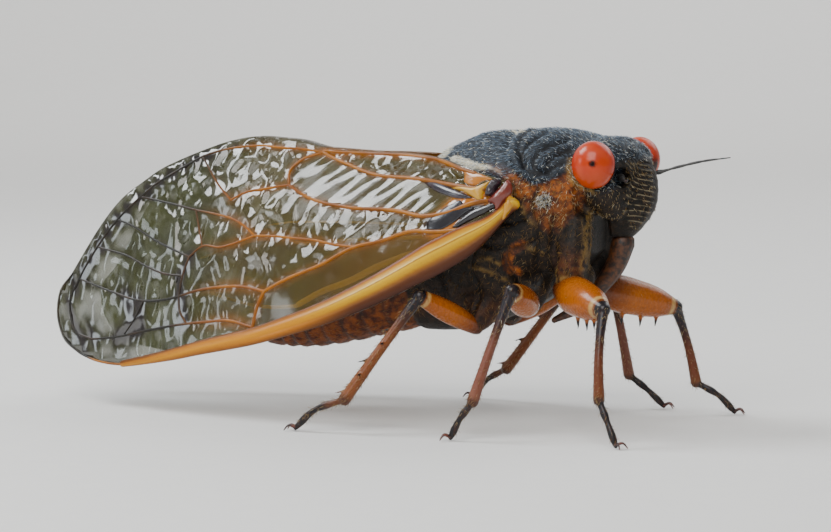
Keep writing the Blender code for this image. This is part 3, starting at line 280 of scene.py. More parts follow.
def curve_through(points):
    """A smooth function of place through (place, value) pairs in rising order of place."""
    places, values = np.array(points, float).T
    slopes = np.gradient(values, places)

    def read(at):
        at = np.clip(np.asarray(at, float), places[0], places[-1])
        index = np.clip(np.searchsorted(places, at) - 1, 0, len(places) - 2)
        span = places[index + 1] - places[index]
        t = (at - places[index]) / span
        return ((1 + 2 * t) * (1 - t) ** 2 * values[index] + t * (1 - t) ** 2 * span * slopes[index]
                + t * t * (3 - 2 * t) * values[index + 1] + t * t * (t - 1) * span * slopes[index + 1])

    return read


def bent_line(points, step):
    """Points about one step apart on a smooth line through the given points."""
    given = np.array(points, float)
    lengths = np.concatenate(([0.0], np.cumsum(np.linalg.norm(np.diff(given, axis=0), axis=1))))
    count = max(1, round(lengths[-1] / step))
    at = lengths[-1] * np.arange(count + 1) / count
    return np.stack([curve_through(np.stack((lengths, given[:, axis]), 1))(at)
                     for axis in range(given.shape[1])], 1)


def away_from_line(places, line):
    """How far each place lies from a bent line."""
    line = np.asarray(line, float)
    best = np.full(len(places), 1e9)
    for start, end in zip(line, line[1:]):
        span = end - start
        t = np.clip((places - start) @ span / np.dot(span, span), 0, 1)
        best = np.minimum(best, np.linalg.norm(places - start - t[:, None] * span, axis=1))
    return best


def rise(low, high, value):
    """0 below low, 1 above high and smooth between. It falls where low is above high."""
    t = np.clip((value - low) / (high - low), 0, 1)
    return t * t * (3 - 2 * t)


def near(distance, reach):
    return np.exp(-(distance / reach) ** 2)


def along_lines(places, lines, reach, step=LINE_STEP):
    """1 on any of the bent lines, and less the further a place lies from them."""
    return np.max([near(away_from_line(places, bent_line(line, step)), reach) for line in lines], axis=0)


def blob(places, centre, radii):
    """1 at a centre, falling to 0 at the given radii."""
    return rise(1.0, 0.55, np.linalg.norm((places - np.array(centre)) / np.array(radii), axis=1))


def choose(*pieces):
    bpy.ops.object.select_all(action="DESELECT")
    for piece in pieces:
        piece.select_set(True)
    bpy.context.view_layer.objects.active = pieces[0]


def new_piece(name, points, faces):
    mesh = bpy.data.meshes.new(name)
    mesh.from_pydata(np.asarray(points).tolist(), [], [list(map(int, face)) for face in faces])
    made = bpy.data.objects.new(name, mesh)
    bpy.context.collection.objects.link(made)
    return made


def join_pieces(name, pieces):
    choose(*pieces)
    bpy.ops.object.join()
    joined = pieces[0]
    joined.name = name
    joined.data.name = name
    return joined


def face_outwards(piece):
    choose(piece)
    bpy.ops.object.mode_set(mode="EDIT")
    bpy.ops.mesh.select_all(action="SELECT")
    bpy.ops.mesh.normals_make_consistent(inside=False)
    bpy.ops.object.mode_set(mode="OBJECT")


def add_modifier(piece, kind, **settings):
    choose(piece)
    added = piece.modifiers.new(kind, kind)
    for name, value in settings.items():
        setattr(added, name, value)
    bpy.ops.object.modifier_apply(modifier=added.name)


def one_skin(piece, voxel, reach=0.0):
    """Turns overlapping or nearly touching solids into one skin that bridges the thin gaps."""
    add_modifier(piece, "REMESH", mode="VOXEL", voxel_size=voxel)
    if reach:
        add_modifier(piece, "DISPLACE", strength=reach, mid_level=0.0)
        add_modifier(piece, "REMESH", mode="VOXEL", voxel_size=voxel)
        add_modifier(piece, "DISPLACE", strength=-reach, mid_level=0.0)
    add_modifier(piece, "SMOOTH", factor=0.5, iterations=3)


def places_of(piece):
    places = np.empty(3 * len(piece.data.vertices))
    piece.data.vertices.foreach_get("co", places)
    return places.reshape(-1, 3)


def normals_of(piece):
    normals = np.empty(3 * len(piece.data.vertices))
    piece.data.vertex_normals.foreach_get("vector", normals)
    return normals.reshape(-1, 3)


def push(piece, amounts):
    """Moves each point along its normal."""
    moved = places_of(piece) + amounts[:, None] * normals_of(piece)
    piece.data.vertices.foreach_set("co", moved.ravel())
    piece.data.update()


def paint(piece, name, values):
    """Keeps one number for each point, which a finish reads by name."""
    layer = piece.data.attributes.new(name, "FLOAT", "POINT")
    layer.data.foreach_set("value", np.asarray(values, np.float32))


def finish_piece(piece, finish, slot, *replaced):
    """Scales a piece to metres, gives it its finish and hides the nodes it stands for. The slot is not used.
    """
    piece.data.transform(Matrix.Scale(MM, 4))
    piece.data.materials.clear()
    piece.data.materials.append(finish)
    choose(piece)
    bpy.ops.object.shade_smooth()
    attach(piece, "root")
    if replaced:
        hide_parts(*replaced)


def tube_surface(path, wide, thick, sides, normals=None):
    """Points and faces of a closed tube with round ends. normals point along its second radius."""
    path = np.asarray(path, float)
    wide = np.asarray(wide, float) * np.ones(len(path))
    thick = np.asarray(thick, float) * np.ones(len(path))
    along = np.gradient(path, axis=0)
    along /= np.linalg.norm(along, axis=1)[:, None]
    if normals is None:
        carried = np.array((0.0, 0.0, 1.0)) if abs(along[0][2]) < 0.9 else np.array((1.0, 0.0, 0.0))
        normals = []
        for way in along:
            carried = carried - np.dot(carried, way) * way
            carried /= np.linalg.norm(carried)
            normals.append(carried)
    normals = np.array(normals)
    across = np.cross(along, normals)
    angles = math.tau * np.arange(sides) / sides
    rings = []

    def ring(index, shift, size):
        centre = path[index] + shift * along[index]
        rings.append(centre + size * (wide[index] * np.cos(angles)[:, None] * across[index]
                                      + thick[index] * np.sin(angles)[:, None] * normals[index]))

    first, last = min(wide[0], thick[0]), min(wide[-1], thick[-1])
    for share in (0.9, 0.55):
        ring(0, -share * first, math.sqrt(1 - share * share))
    for index in range(len(path)):
        ring(index, 0.0, 1.0)
    for share in (0.55, 0.9):
        ring(-1, share * last, math.sqrt(1 - share * share))
    count = len(rings)
    points = np.concatenate(rings + [path[:1] - first * along[:1], path[-1:] + last * along[-1:]])
    faces = []
    for i in range(count - 1):
        for j in range(sides):
            k = (j + 1) % sides
            faces.append((i * sides + j, i * sides + k, (i + 1) * sides + k, (i + 1) * sides + j))
    for j in range(sides):
        k = (j + 1) % sides
        faces.append((count * sides, k, j))
        faces.append((count * sides + 1, (count - 1) * sides + j, (count - 1) * sides + k))
    return points, faces


def tube(name, path, wide, sides, thick=None, normals=None):
    points, faces = tube_surface(path, wide, wide if thick is None else thick, sides, normals)
    made = new_piece(name, points, faces)
    face_outwards(made)
    return made


def ball(name, centre, radii, segments=24, rings=16):
    bpy.ops.mesh.primitive_uv_sphere_add(segments=segments, ring_count=rings, radius=1.0)
    made = bpy.context.object
    made.name = name
    made.data.transform(Matrix.Translation(Vector(centre)) @ Matrix.Diagonal((*radii, 1.0)))
    return made


def on_side(point, side):
    return np.array((point[0], side * point[1], point[2]))


class Value:
    """A number in a shader. Its arithmetic adds Math nodes."""

    def __init__(self, finish, link):
        self.finish, self.link = finish, link

    def __add__(self, other):
        return self.finish.math("ADD", self, other)

    __radd__ = __add__

    def __sub__(self, other):
        return self.finish.math("SUBTRACT", self, other)

    def __rsub__(self, other):
        return self.finish.math("SUBTRACT", other, self)

    def __mul__(self, other):
        return self.finish.math("MULTIPLY", self, other)

    __rmul__ = __mul__

    def kept(self):
        """The same number, held between 0 and 1."""
        return self.finish.math("ADD", self, 0.0, clamp=True)

    def over(self, low, high):
        """0 below low and 1 above high."""
        made = self.finish.node("ShaderNodeMapRange", {"interpolation_type": "SMOOTHSTEP"},
                                {"Value": self, "From Min": low, "From Max": high})
        return Value(self.finish, made.outputs[0])


class Finish:
    """One material, built from nodes around a Principled shader."""

    def __init__(self, name, **fixed):
        self.material = bpy.data.materials.new(name)
        self.material.use_nodes = True
        self.tree = self.material.node_tree
        self.shader = self.tree.nodes["Principled BSDF"]
        for key, value in fixed.items():
            self.shader.inputs[key.replace("_", " ").title().replace("Ior", "IOR")].default_value = value
        self.coordinates = self.node("ShaderNodeTexCoord").outputs["Object"]

    def node(self, kind, settings=None, inputs=None):
        made = self.tree.nodes.new(kind)
        for name, value in (settings or {}).items():
            setattr(made, name, value)
        for name, value in (inputs or {}).items():
            self.feed(made.inputs[name], value)
        return made

    def feed(self, socket, value):
        if isinstance(value, Value):
            value = value.link
        if isinstance(value, bpy.types.NodeSocket):
            self.tree.links.new(value, socket)
        elif isinstance(value, tuple) and socket.type == "RGBA":
            socket.default_value = (*value, 1.0)
        else:
            socket.default_value = value

    def set(self, name, value):
        self.feed(self.shader.inputs[name], value)

    def math(self, operation, first, second=None, clamp=False):
        inputs = {0: first} if second is None else {0: first, 1: second}
        made = self.node("ShaderNodeMath", {"operation": operation, "use_clamp": clamp}, inputs)
        return Value(self, made.outputs[0])

    def attribute(self, name, output="Fac"):
        return self.node("ShaderNodeAttribute", {"attribute_name": name}).outputs[output]

    def painted(self, names):
        """The numbers that a piece keeps under these names, parted by spaces."""
        return [Value(self, self.attribute(name)) for name in names.split()]

    def stretched(self, scale, vector=None, turn=(0.0, 0.0, 0.0)):
        """Coordinates times a scale for each axis. Without a vector they are the piece's millimetres."""
        size = tuple(part / MM for part in scale) if vector is None else scale
        made = self.node("ShaderNodeMapping", {}, {"Vector": vector or self.coordinates, "Scale": size,
                                                   "Rotation": turn})
        return made.outputs[0]

    def noise(self, scale, detail=3.0, vector=None, roughness=0.55, distortion=0.0):
        """Noise whose scale is in waves to the millimetre."""
        made = self.node("ShaderNodeTexNoise", {}, {
            "Vector": vector or self.stretched((1.0, 1.0, 1.0)), "Scale": scale, "Detail": detail,
            "Roughness": roughness, "Distortion": distortion})
        return Value(self, made.outputs["Fac"])

    def cells(self, scale, vector=None, feature="F1"):
        """How far each place lies from the middle of its cell."""
        made = self.node("ShaderNodeTexVoronoi", {"feature": feature}, {
            "Vector": vector or self.stretched((1.0, 1.0, 1.0)), "Scale": scale})
        return Value(self, made.outputs["Distance"])

    def mix(self, factor, first, second):
        made = self.node("ShaderNodeMix", {"data_type": "RGBA"})
        self.feed(made.inputs[0], factor)
        self.feed(made.inputs[6], first)
        self.feed(made.inputs[7], second)
        return made.outputs[2]

    def coats(self, colour, *coats):
        """Lays colours over a first one, each by its own share between 0 and 1."""
        for share, over in coats:
            colour = self.mix(share.kept(), colour, over)
        self.set("Base Color", colour)

    def ramp(self, value, stops):
        made = self.node("ShaderNodeValToRGB", {}, {"Fac": value})
        elements = made.color_ramp.elements
        while len(elements) < len(stops):
            elements.new(0.5)
        for element, (place, colour) in zip(elements, stops):
            element.position = place
            element.color = (*colour, 1.0)
        return made.outputs["Color"]

    def bump(self, height, distance):
        made = self.node("ShaderNodeBump", {}, {"Height": height, "Distance": distance * MM, "Strength": 1.0})
        self.set("Normal", made.outputs["Normal"])


def shell_finish():
    """Blue-black shell under silvery down, brown flanks, orange cheeks and pale edges."""
    made = Finish("shell", roughness=0.42, specular_ior_level=0.24)
    down, orange, cream, rust = made.painted("down orange cream rust")
    gold, crease, phase, face = made.painted("gold crease phase face")
    hairs = made.noise(1.0, 2.0, made.stretched((5.5, 9.0, 16.0), turn=(0.3, 0.5, 0.0)), distortion=0.6)
    fine, middling, broad = made.noise(9.0, 4.0), made.noise(2.4, 3.0), made.noise(0.8, 3.0)
    flecks = made.cells(7.0)
    grooves = (made.math("SINE", phase * math.tau + (middling - 0.5) * 2.0) * 0.5 + 0.5) * face
    black = made.mix(broad.over(0.35, 0.7), (0.002, 0.003, 0.005), (0.006, 0.009, 0.014))
    brown = made.mix((fine * 0.5 + middling * 0.5).over(0.42, 0.66),
                     (0.003, 0.0025, 0.002), (0.028, 0.016, 0.008))
    rusty = made.mix(middling.over(0.35, 0.62), (0.05, 0.01, 0.003), (0.22, 0.055, 0.007))
    warm = made.mix((middling * 0.6 + fine * 0.4).over(0.4, 0.62), (0.06, 0.013, 0.003), (0.3, 0.08, 0.006))
    silver = (down * (hairs * 0.7 + fine * 0.3).over(0.45, 0.68) * middling.over(0.36, 0.6)).kept()
    made.coats(
        brown,
        (down * 1.2, black),
        (silver * 0.6, (0.06, 0.09, 0.13)),
        (down * (0.15 - flecks).over(0.0, 0.1) * fine.over(0.52, 0.6), (0.4, 0.46, 0.5)),
        (rust * (0.65 + 0.5 * broad), rusty),
        (orange * (0.5 + 0.6 * middling), warm),
        (grooves.over(0.84, 0.99) * middling.over(0.32, 0.6) * 0.75, (0.25, 0.21, 0.13)),
        (gold * (0.2 + fine) * middling.over(0.36, 0.56), (0.34, 0.2, 0.05)),
        (cream * (0.7 + fine), (0.95, 0.89, 0.7)),
        # Near black in the furrows, the collar's step, the seams and between the abdomen's segments: painted
        # shade in the pushed-in grooves, and dark joints at the seams
        (crease * 0.8, (0.003, 0.002, 0.002)))
    made.set("Roughness", (0.3 + fine * 0.35 + cream * 0.2).kept())
    made.bump(hairs * 0.6 + fine * 0.7 + middling * 0.6 + grooves * 1.6 - flecks * 0.3, 0.05)
    return made.material


def eye_finish():
    """A red-orange eye with a black point where it faces out, a painted pinkish highlight over its top and
    painted shade in a dark rim where it meets the head.
    """
    made = Finish("eye", roughness=0.22, specular_ior_level=0.3, coat_weight=0.06, coat_roughness=0.1)
    fine, broad = made.noise(6.0, 2.0), made.noise(0.7, 2.0)
    upper, low, rim, spot = made.painted("upper low rim spot")
    made.coats(
        made.mix(broad.over(0.3, 0.7), (0.36, 0.018, 0.003), (0.44, 0.04, 0.005)),
        # Pinkish over the top: a painted highlight
        (upper, (0.46, 0.08, 0.045)),
        (low, (0.42, 0.05, 0.004)),
        # A dark rim where the eye meets the head: painted shade
        (rim, (0.02, 0.003, 0.002)),
        (spot, (0.006, 0.001, 0.001)))
    made.bump(made.cells(9.0) * 0.6 + fine * 0.1, 0.006)
    return made.material


def leg_finish():
    """Amber thighs with pale knees, black and red-brown shins and black feet."""
    made = Finish("leg", roughness=0.26, specular_ior_level=0.3, coat_weight=0.1, coat_roughness=0.1)
    place, spine, warm, pink = made.painted("place spine warm pink")
    fine, broad = made.noise(5.0, 4.0), made.noise(0.9, 3.0)
    streaks = made.noise(1.0, 3.0, made.stretched((9.0, 9.0, 2.2)))
    along = (place * (1 / 3) + (broad - 0.5) * 0.012).kept()
    amber = made.ramp(along, (
        (0.0, (0.06, 0.013, 0.003)), (0.05, (0.2, 0.045, 0.003)), (0.14, (0.36, 0.095, 0.003)),
        (0.26, (0.33, 0.08, 0.003)), (0.3, (0.28, 0.07, 0.004)), (0.307, (0.46, 0.27, 0.08)),
        (0.318, (0.4, 0.24, 0.09)), (0.324, (0.16, 0.045, 0.006)), (0.333, (0.12, 0.032, 0.005)),
        (0.339, (0.006, 0.007, 0.011)), (0.42, (0.008, 0.008, 0.012)), (0.46, (0.04, 0.011, 0.005)),
        (0.52, (0.1, 0.024, 0.008)), (0.62, (0.13, 0.034, 0.011)), (0.655, (0.14, 0.045, 0.015)),
        (0.672, (0.014, 0.01, 0.01)), (0.72, (0.006, 0.007, 0.01)), (1.0, (0.009, 0.008, 0.009))))
    made.coats(
        amber,
        (warm * 0.8, (0.2, 0.055, 0.009)),
        (pink * 0.55, (0.2, 0.07, 0.045)),
        (streaks.over(0.42, 0.7) * 0.35, (0.08, 0.018, 0.005)),
        (spine, (0.008, 0.007, 0.009)),
        (fine.over(0.62, 0.72) * place.over(0.9, 1.2) * 0.3, (0.35, 0.26, 0.18)))
    made.set("Roughness", (0.2 + fine * 0.14 + place.over(0.95, 1.2) * 0.1).kept())
    made.bump(fine * 0.5 + streaks * 0.5, 0.012)
    return made.material


def membrane_finish(name, tint, ior):
    """A clear, smoky, rippled film, stained and thicker near its veins."""
    made = Finish(name, roughness=0.1, specular_ior_level=0.5, ior=ior)
    stain, amber, root, slanted, calm, clear = made.painted("stain amber root slanted calm clear")
    flat = made.attribute("flat", "Vector")
    wave = made.node("ShaderNodeTexWave", {"wave_type": "BANDS", "bands_direction": "X"}, {
        "Vector": made.stretched((1.0, 1.0, 1.0), flat, (0.0, 0.0, RIPPLE_TURN)), "Scale": 0.18,
        "Distortion": 1.0, "Detail": 1.0, "Detail Scale": 0.8})
    stripes = Value(made, wave.outputs["Fac"])
    wander = made.node("ShaderNodeTexNoise", {}, {"Vector": flat, "Scale": 0.7, "Detail": 1.0})
    bent = made.node("ShaderNodeVectorMath", {"operation": "MULTIPLY_ADD"}, {
        0: wander.outputs["Color"], 1: (0.8, 0.8, 0.0), 2: flat}).outputs[0]
    dents = made.cells(1.0, made.stretched((1.15, 1.0, 1.0), bent, (0.0, 0.0, DENT_TURN)), "SMOOTH_F1")
    dents = dents * 1.15 * (1 - calm * 0.9)
    broad, fine = made.noise(0.5, 2.0), made.noise(9.0, 3.0)
    made.coats(
        made.mix(broad.over(0.3, 0.7), tint, tuple(0.6 * part for part in tint)),
        (amber, (0.24, 0.075, 0.004)),
        (root, (0.36, 0.11, 0.004)),
        (stain, (0.012, 0.008, 0.008)))
    made.set("Alpha", (0.5 - calm * 0.16 + amber * 0.35 + root * 0.6 + stain * 0.75 + broad * 0.08
                       - clear * 0.34).kept())
    made.bump(stripes * slanted * 0.95 + dents * (1 - slanted * 0.97) * 4.4 + fine * 0.02, 0.1)
    return made.material


def vein_finish(name, low, high):
    """Veins that darken towards the wing tip."""
    made = Finish(name, roughness=0.35, specular_ior_level=0.25, coat_weight=0.08, coat_roughness=0.15)
    dark, = made.painted("dark")
    fine, broad = made.noise(6.0, 3.0), made.noise(0.6, 2.0)
    made.coats(made.mix(broad.over(0.3, 0.7), low, high), (dark + (broad - 0.5) * 0.5, (0.014, 0.012, 0.009)))
    made.bump(fine, 0.02)
    return made.material


def costa_finish():
    """The thick costal border: orange, yellow and red-brown stripes that merge towards the tip, with a thin
    pale line near the top of its root half that is a painted highlight.
    """
    made = Finish("costa", roughness=0.3, specular_ior_level=0.2, coat_weight=0.12, coat_roughness=0.15)
    across, outer = made.painted("across outer")
    streaks = made.noise(1.0, 4.0, made.stretched((0.8, 4.0, 4.0), turn=(0.0, -0.42, 0.0)))
    fine = made.noise(8.0, 3.0)
    at = (across + (streaks - 0.5) * 0.05).kept()
    # The pale stop at 0.27 is a painted highlight line along the border's upper part
    root = made.ramp(at, (
        (0.0, (0.07, 0.014, 0.003)), (0.06, (0.24, 0.06, 0.003)), (0.12, (0.44, 0.19, 0.003)),
        (0.23, (0.48, 0.25, 0.003)), (0.27, (0.58, 0.4, 0.06)), (0.31, (0.28, 0.11, 0.003)),
        (0.36, (0.54, 0.32, 0.003)), (0.5, (0.44, 0.23, 0.003)), (0.6, (0.22, 0.08, 0.003)),
        (0.72, (0.08, 0.022, 0.004)), (0.9, (0.05, 0.012, 0.004)), (1.0, (0.015, 0.005, 0.003))))
    tip = made.ramp(at, (
        (0.0, (0.12, 0.035, 0.003)), (0.15, (0.36, 0.12, 0.003)), (0.45, (0.52, 0.21, 0.004)),
        (0.75, (0.34, 0.11, 0.003)), (1.0, (0.12, 0.035, 0.003))))
    made.coats(root, (outer, tip), (fine.over(0.55, 0.75) * 0.2, (0.1, 0.028, 0.004)))
    made.set("Roughness", (0.3 + fine * 0.25).kept())
    made.bump(streaks * 0.7 + fine * 0.3, 0.025)
    return made.material


def plate_finish():
    """The hard little plates of the wing root: black, blue, red, orange and yellow."""
    made = Finish("wing_root", roughness=0.25, specular_ior_level=0.5, coat_weight=0.5, coat_roughness=0.1)
    fine, broad = made.noise(7.0, 3.0), made.noise(2.0, 2.0)
    tone, = made.painted("tone")
    made.set("Base Color", made.ramp((tone + (broad - 0.5) * 0.12).kept(), (
        (0.0, (0.006, 0.004, 0.006)), (0.1, (0.012, 0.012, 0.02)), (0.2, (0.05, 0.012, 0.02)),
        (0.4, (0.14, 0.018, 0.01)), (0.65, (0.34, 0.09, 0.008)), (0.8, (0.42, 0.17, 0.01)),
        (1.0, (0.5, 0.26, 0.012)))))
    made.bump(fine * 0.5 + broad * 0.5, 0.04)
    return made.material


def hair_finish():
    """Fine hairs: silver on the back, golden on the flanks and cream round the eyes."""
    made = Finish("hair", roughness=0.4, specular_ior_level=0.4)
    fine = made.noise(5.0, 2.0)
    tone, = made.painted("tone")
    made.set("Base Color", made.ramp((tone + (fine - 0.5) * 0.1).kept(), (
        (0.0, (0.045, 0.07, 0.11)), (0.2, (0.16, 0.22, 0.29)), (0.35, (0.5, 0.56, 0.6)),
        (0.46, (0.95, 0.9, 0.74)), (0.55, (0.66, 0.55, 0.32)), (0.7, (0.3, 0.17, 0.04)),
        (1.0, (0.06, 0.026, 0.008)))))
    made.bump(fine, 0.005)
    return made.material


def mottled_finish(name, low, high, roughness):
    """One dark colour mottled with another, for the beak, the claws and the feelers."""
    made = Finish(name, roughness=roughness, specular_ior_level=0.5)
    fine = made.noise(4.0, 4.0)
    made.set("Base Color", made.mix(fine.over(0.35, 0.68), low, high))
    made.bump(fine, 0.02)
    return made.material


def body_relief(piece):
    """Collar, furrows, seams and face grooves, and the masks that colour the skin."""
    places = places_of(piece)
    x, y, z = places.T
    side_view = places[:, (0, 2)]
    mirrored = np.stack((x, np.abs(y), z), 1)
    normals = normals_of(piece)
    upper = rise(-0.1, 0.35, normals[:, 2])

    edge_height = curve_through(PRONOTUM_EDGE)(x)
    on_pronotum = rise(-0.15, 0.15, z - edge_height) * rise(9.95, 10.2, x) * rise(14.95, 14.7, x)
    from_edge = away_from_line(side_view, bent_line(PRONOTUM_EDGE, LINE_STEP))
    collar = on_pronotum * rise(COLLAR_WIDTH, COLLAR_WIDTH - 0.12, from_edge)
    step = on_pronotum * near(from_edge - COLLAR_WIDTH - 0.08, 0.14)
    furrow = along_lines(side_view, PRONOTUM_FURROWS, 0.16) * on_pronotum * rise(0.9, 1.5, np.abs(y))
    middle = on_pronotum * near(np.abs(y) - 0.55, 0.12) * upper * 0.7

    on_mesonotum = rise(15.0, 15.4, z) * rise(11.2, 10.9, x) * rise(3.9, 4.3, x) * (1 - on_pronotum)
    stripes = on_mesonotum * near(np.abs(y) - 0.25 - 0.22 * (x - 5.5), 0.13) * rise(5.6, 6.3, x)

    flank = rise(15.3, 14.7, z) * rise(3.2, 3.6, x) * rise(16.4, 15.6, x) * rise(1.5, 2.5, np.abs(y))
    seam = along_lines(side_view, THORAX_SEAMS, 0.17) * flank
    golden = along_lines(side_view, GOLDEN_RIDGES, 0.13) * flank

    on_face = rise(FACE_START, FACE_START + 0.4, x) * rise(FACE_HIGH, FACE_HIGH - 0.4, z)
    phase = (z - 0.22 * np.abs(y) + 0.35 * rise(1.0, 2.2, np.abs(y)) * (13.9 - z)) / FACE_GROOVE_STEP
    stripe = on_face * rise(0.18, 0.4, np.abs(y)) * rise(11.9, 12.4, z) * rise(2.5, 2.1, np.abs(y))
    gena = (rise(14.9, 15.3, x) * rise(15.6, 15.0, z) * rise(12.0, 12.6, z) * rise(1.4, 2.0, np.abs(y))
            * (1 - stripe))

    on_abdomen = rise(3.3, 2.9, x)
    segments = np.max([near(x - ring - 0.02, 0.16) for ring in SEGMENT_RINGS], axis=0)

    push(piece, 0.1 * collar - 0.09 * step - 0.18 * furrow - 0.07 * middle - 0.05 * stripes
         - 0.17 * seam + 0.08 * golden - 0.03 * segments * on_abdomen)

    on_head = rise(14.8, 15.1, x) * rise(14.2, 15.0, z)
    pale_edge = bent_line([on_side(point, RIGHT) for point in MESONOTUM_PALE_EDGE], LINE_STEP)
    pale_line = away_from_line(mirrored, pale_edge)
    triangle = bent_line(CHEEK_PATCH + CHEEK_PATCH[:1], LINE_STEP)
    deep = away_from_line(side_view, triangle) * np.where(inside(side_view, triangle), 1, -1)
    cheek = rise(-0.3, 0.25, deep)
    cheek *= (1 - on_pronotum) * rise(2.4, 3.0, np.abs(y)) * rise(15.6, 15.1, x)
    root = blob(mirrored, WING_ROOT_PATCH, (1.2, 1.3, 0.95))
    crescent = flank * rise(0.36, 0.24, away_from_line(side_view, bent_line(SIDE_CRESCENT, 0.2)))
    hip_ring = blob(mirrored, HIP_RING, (1.3, 1.3, 0.45)) * 0.8
    crown = on_head * (1 - on_face)
    down = np.clip(on_pronotum + on_mesonotum + 0.85 * crown, 0, 1)
    cream = np.clip((2.6 * near(pale_line, 0.2) - 0.6) * rise(10.4, 9.0, x)
                    + blob(places, SCUTELLUM_END, SCUTELLUM_RADII)
                    + 1.5 * near(away_from_line(mirrored, PALE_FLECK), 0.13), 0, 1)
    from_eye = np.linalg.norm((mirrored - EYE_PLACE) / EYE_RADII, axis=1)
    behind_eye = rise(1.36, 1.22, from_eye) * rise(16.2, 15.4, x)
    low_coxa = rise(11.8, 9.6, z) * rise(12.9, 13.4, x) * rise(15.4, 14.9, x) * rise(2.9, 3.4, np.abs(y))
    down = down * (1 - cheek)
    paint(piece, "down", down)
    blot = blob(mirrored, CHEEK_BLOT, (0.65, 1.2, 0.6)) * cheek
    paint(piece, "orange", np.clip(cheek * (0.3 + 0.7 * rise(13.3, 14.4, z + 0.25 * (x - 13.5)))
                                   + root * (1 - on_pronotum) + crescent
                                   + 0.7 * near(pale_line, 0.28) * rise(8.2, 9.6, x) - 0.8 * blot, 0, 1))
    paint(piece, "cream", cream)
    paint(piece, "rust", np.clip(on_abdomen * (0.45 + 0.55 * rise(9.0, 6.5, z)) + 0.35 * low_coxa
                                 + 0.6 * cheek + 0.2 * rise(9.0, 6.5, z) * flank - 0.6 * blot, 0, 1))
    paint(piece, "gold", np.clip(0.55 * golden + hip_ring + behind_eye, 0, 1))
    paint(piece, "face", stripe)
    paint(piece, "phase", phase)
    # Painted shade in the furrows and the step behind the collar, and dark joints along the seams and between
    # the segments
    paint(piece, "crease", np.clip(furrow + seam + 0.9 * step + segments * on_abdomen * 0.8, 0, 1))
    return {"down": down * (1 - 0.85 * furrow) * (1 - 0.8 * step) * (1 - 0.9 * behind_eye),
            "cheek": np.clip(cheek + root, 0, 1), "behind_eye": behind_eye,
            "cream": cream, "face": stripe, "gena": gena, "coxa": low_coxa, "crown": crown,
            "flank": flank * (1 - cheek) * (1 - crescent), "belly": on_abdomen * rise(11.0, 8.0, z)}


def body_skin(finish):
    """One skin over the torso, the head, the abdomen and the hips."""
    copies = []
    for name in FLESH_NODES:
        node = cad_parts[name]
        copy = node.copy()
        copy.data = node.data.copy()
        copy.parent = None
        copy.matrix_world = Matrix.Identity(4)
        bpy.context.collection.objects.link(copy)
        copies.append(copy)
    skin = join_pieces("body_skin", copies)
    skin.data.transform(Matrix.Scale(1 / MM, 4))
    bpy.ops.object.mode_set(mode="EDIT")
    bpy.ops.mesh.select_all(action="SELECT")
    bpy.ops.mesh.remove_doubles(threshold=0.001)
    bpy.ops.object.mode_set(mode="OBJECT")
    hips = [ball("hip", on_side(HIP_KNOB, side), HIP_KNOB_RADII, 32, 20) for word, side in SIDES]
    join_pieces("body_skin", [skin] + hips)
    one_skin(skin, SKIN_VOXEL, SKIN_REACH)
    tighten_sockets(skin)
    masks = body_relief(skin)
    hairs = body_hairs(skin, masks)
    finish_piece(skin, finish, "shell_black", *FLESH_NODES)
    return hairs


def tighten_sockets(skin):
    """Draws the skin round each eye in to a narrow lip."""
    places = places_of(skin)
    for word, side in SIDES:
        from_eye = (places - on_side(EYE_PLACE, side)) / EYE_RADII
        far = np.maximum(np.linalg.norm(from_eye, axis=1), 1e-6)
        drawn = SOCKET_LIP + (far - SOCKET_LIP) * rise(1.0, 1.5, far)
        wanted = np.where(far < 1.5, np.maximum(drawn, SOCKET_LIP), far)
        places = on_side(EYE_PLACE, side) + from_eye * (wanted / far)[:, None] * EYE_RADII
    skin.data.vertices.foreach_set("co", places.ravel())
    skin.data.update()


def corners_of(piece):
    piece.data.calc_loop_triangles()
    corners = np.empty(3 * len(piece.data.loop_triangles), int)
    piece.data.loop_triangles.foreach_get("vertices", corners)
    return corners.reshape(-1, 3)


def hair_roots(piece, mask, count, dice):
    """Random places on the skin where a mask is high, with the skin's normal there."""
    places, normals, corners = places_of(piece), normals_of(piece), corners_of(piece)
    sides = places[corners]
    area = np.linalg.norm(np.cross(sides[:, 1] - sides[:, 0], sides[:, 2] - sides[:, 0]), axis=1)
    weight = area * mask[corners].mean(axis=1) ** 2
    chosen = corners[dice.choice(len(corners), count, p=weight / weight.sum())]
    shares = dice.dirichlet((1.0, 1.0, 1.0), count)[:, :, None]
    normal = (normals[chosen] * shares).sum(axis=1)
    return (places[chosen] * shares).sum(axis=1), normal / np.linalg.norm(normal, axis=1)[:, None]


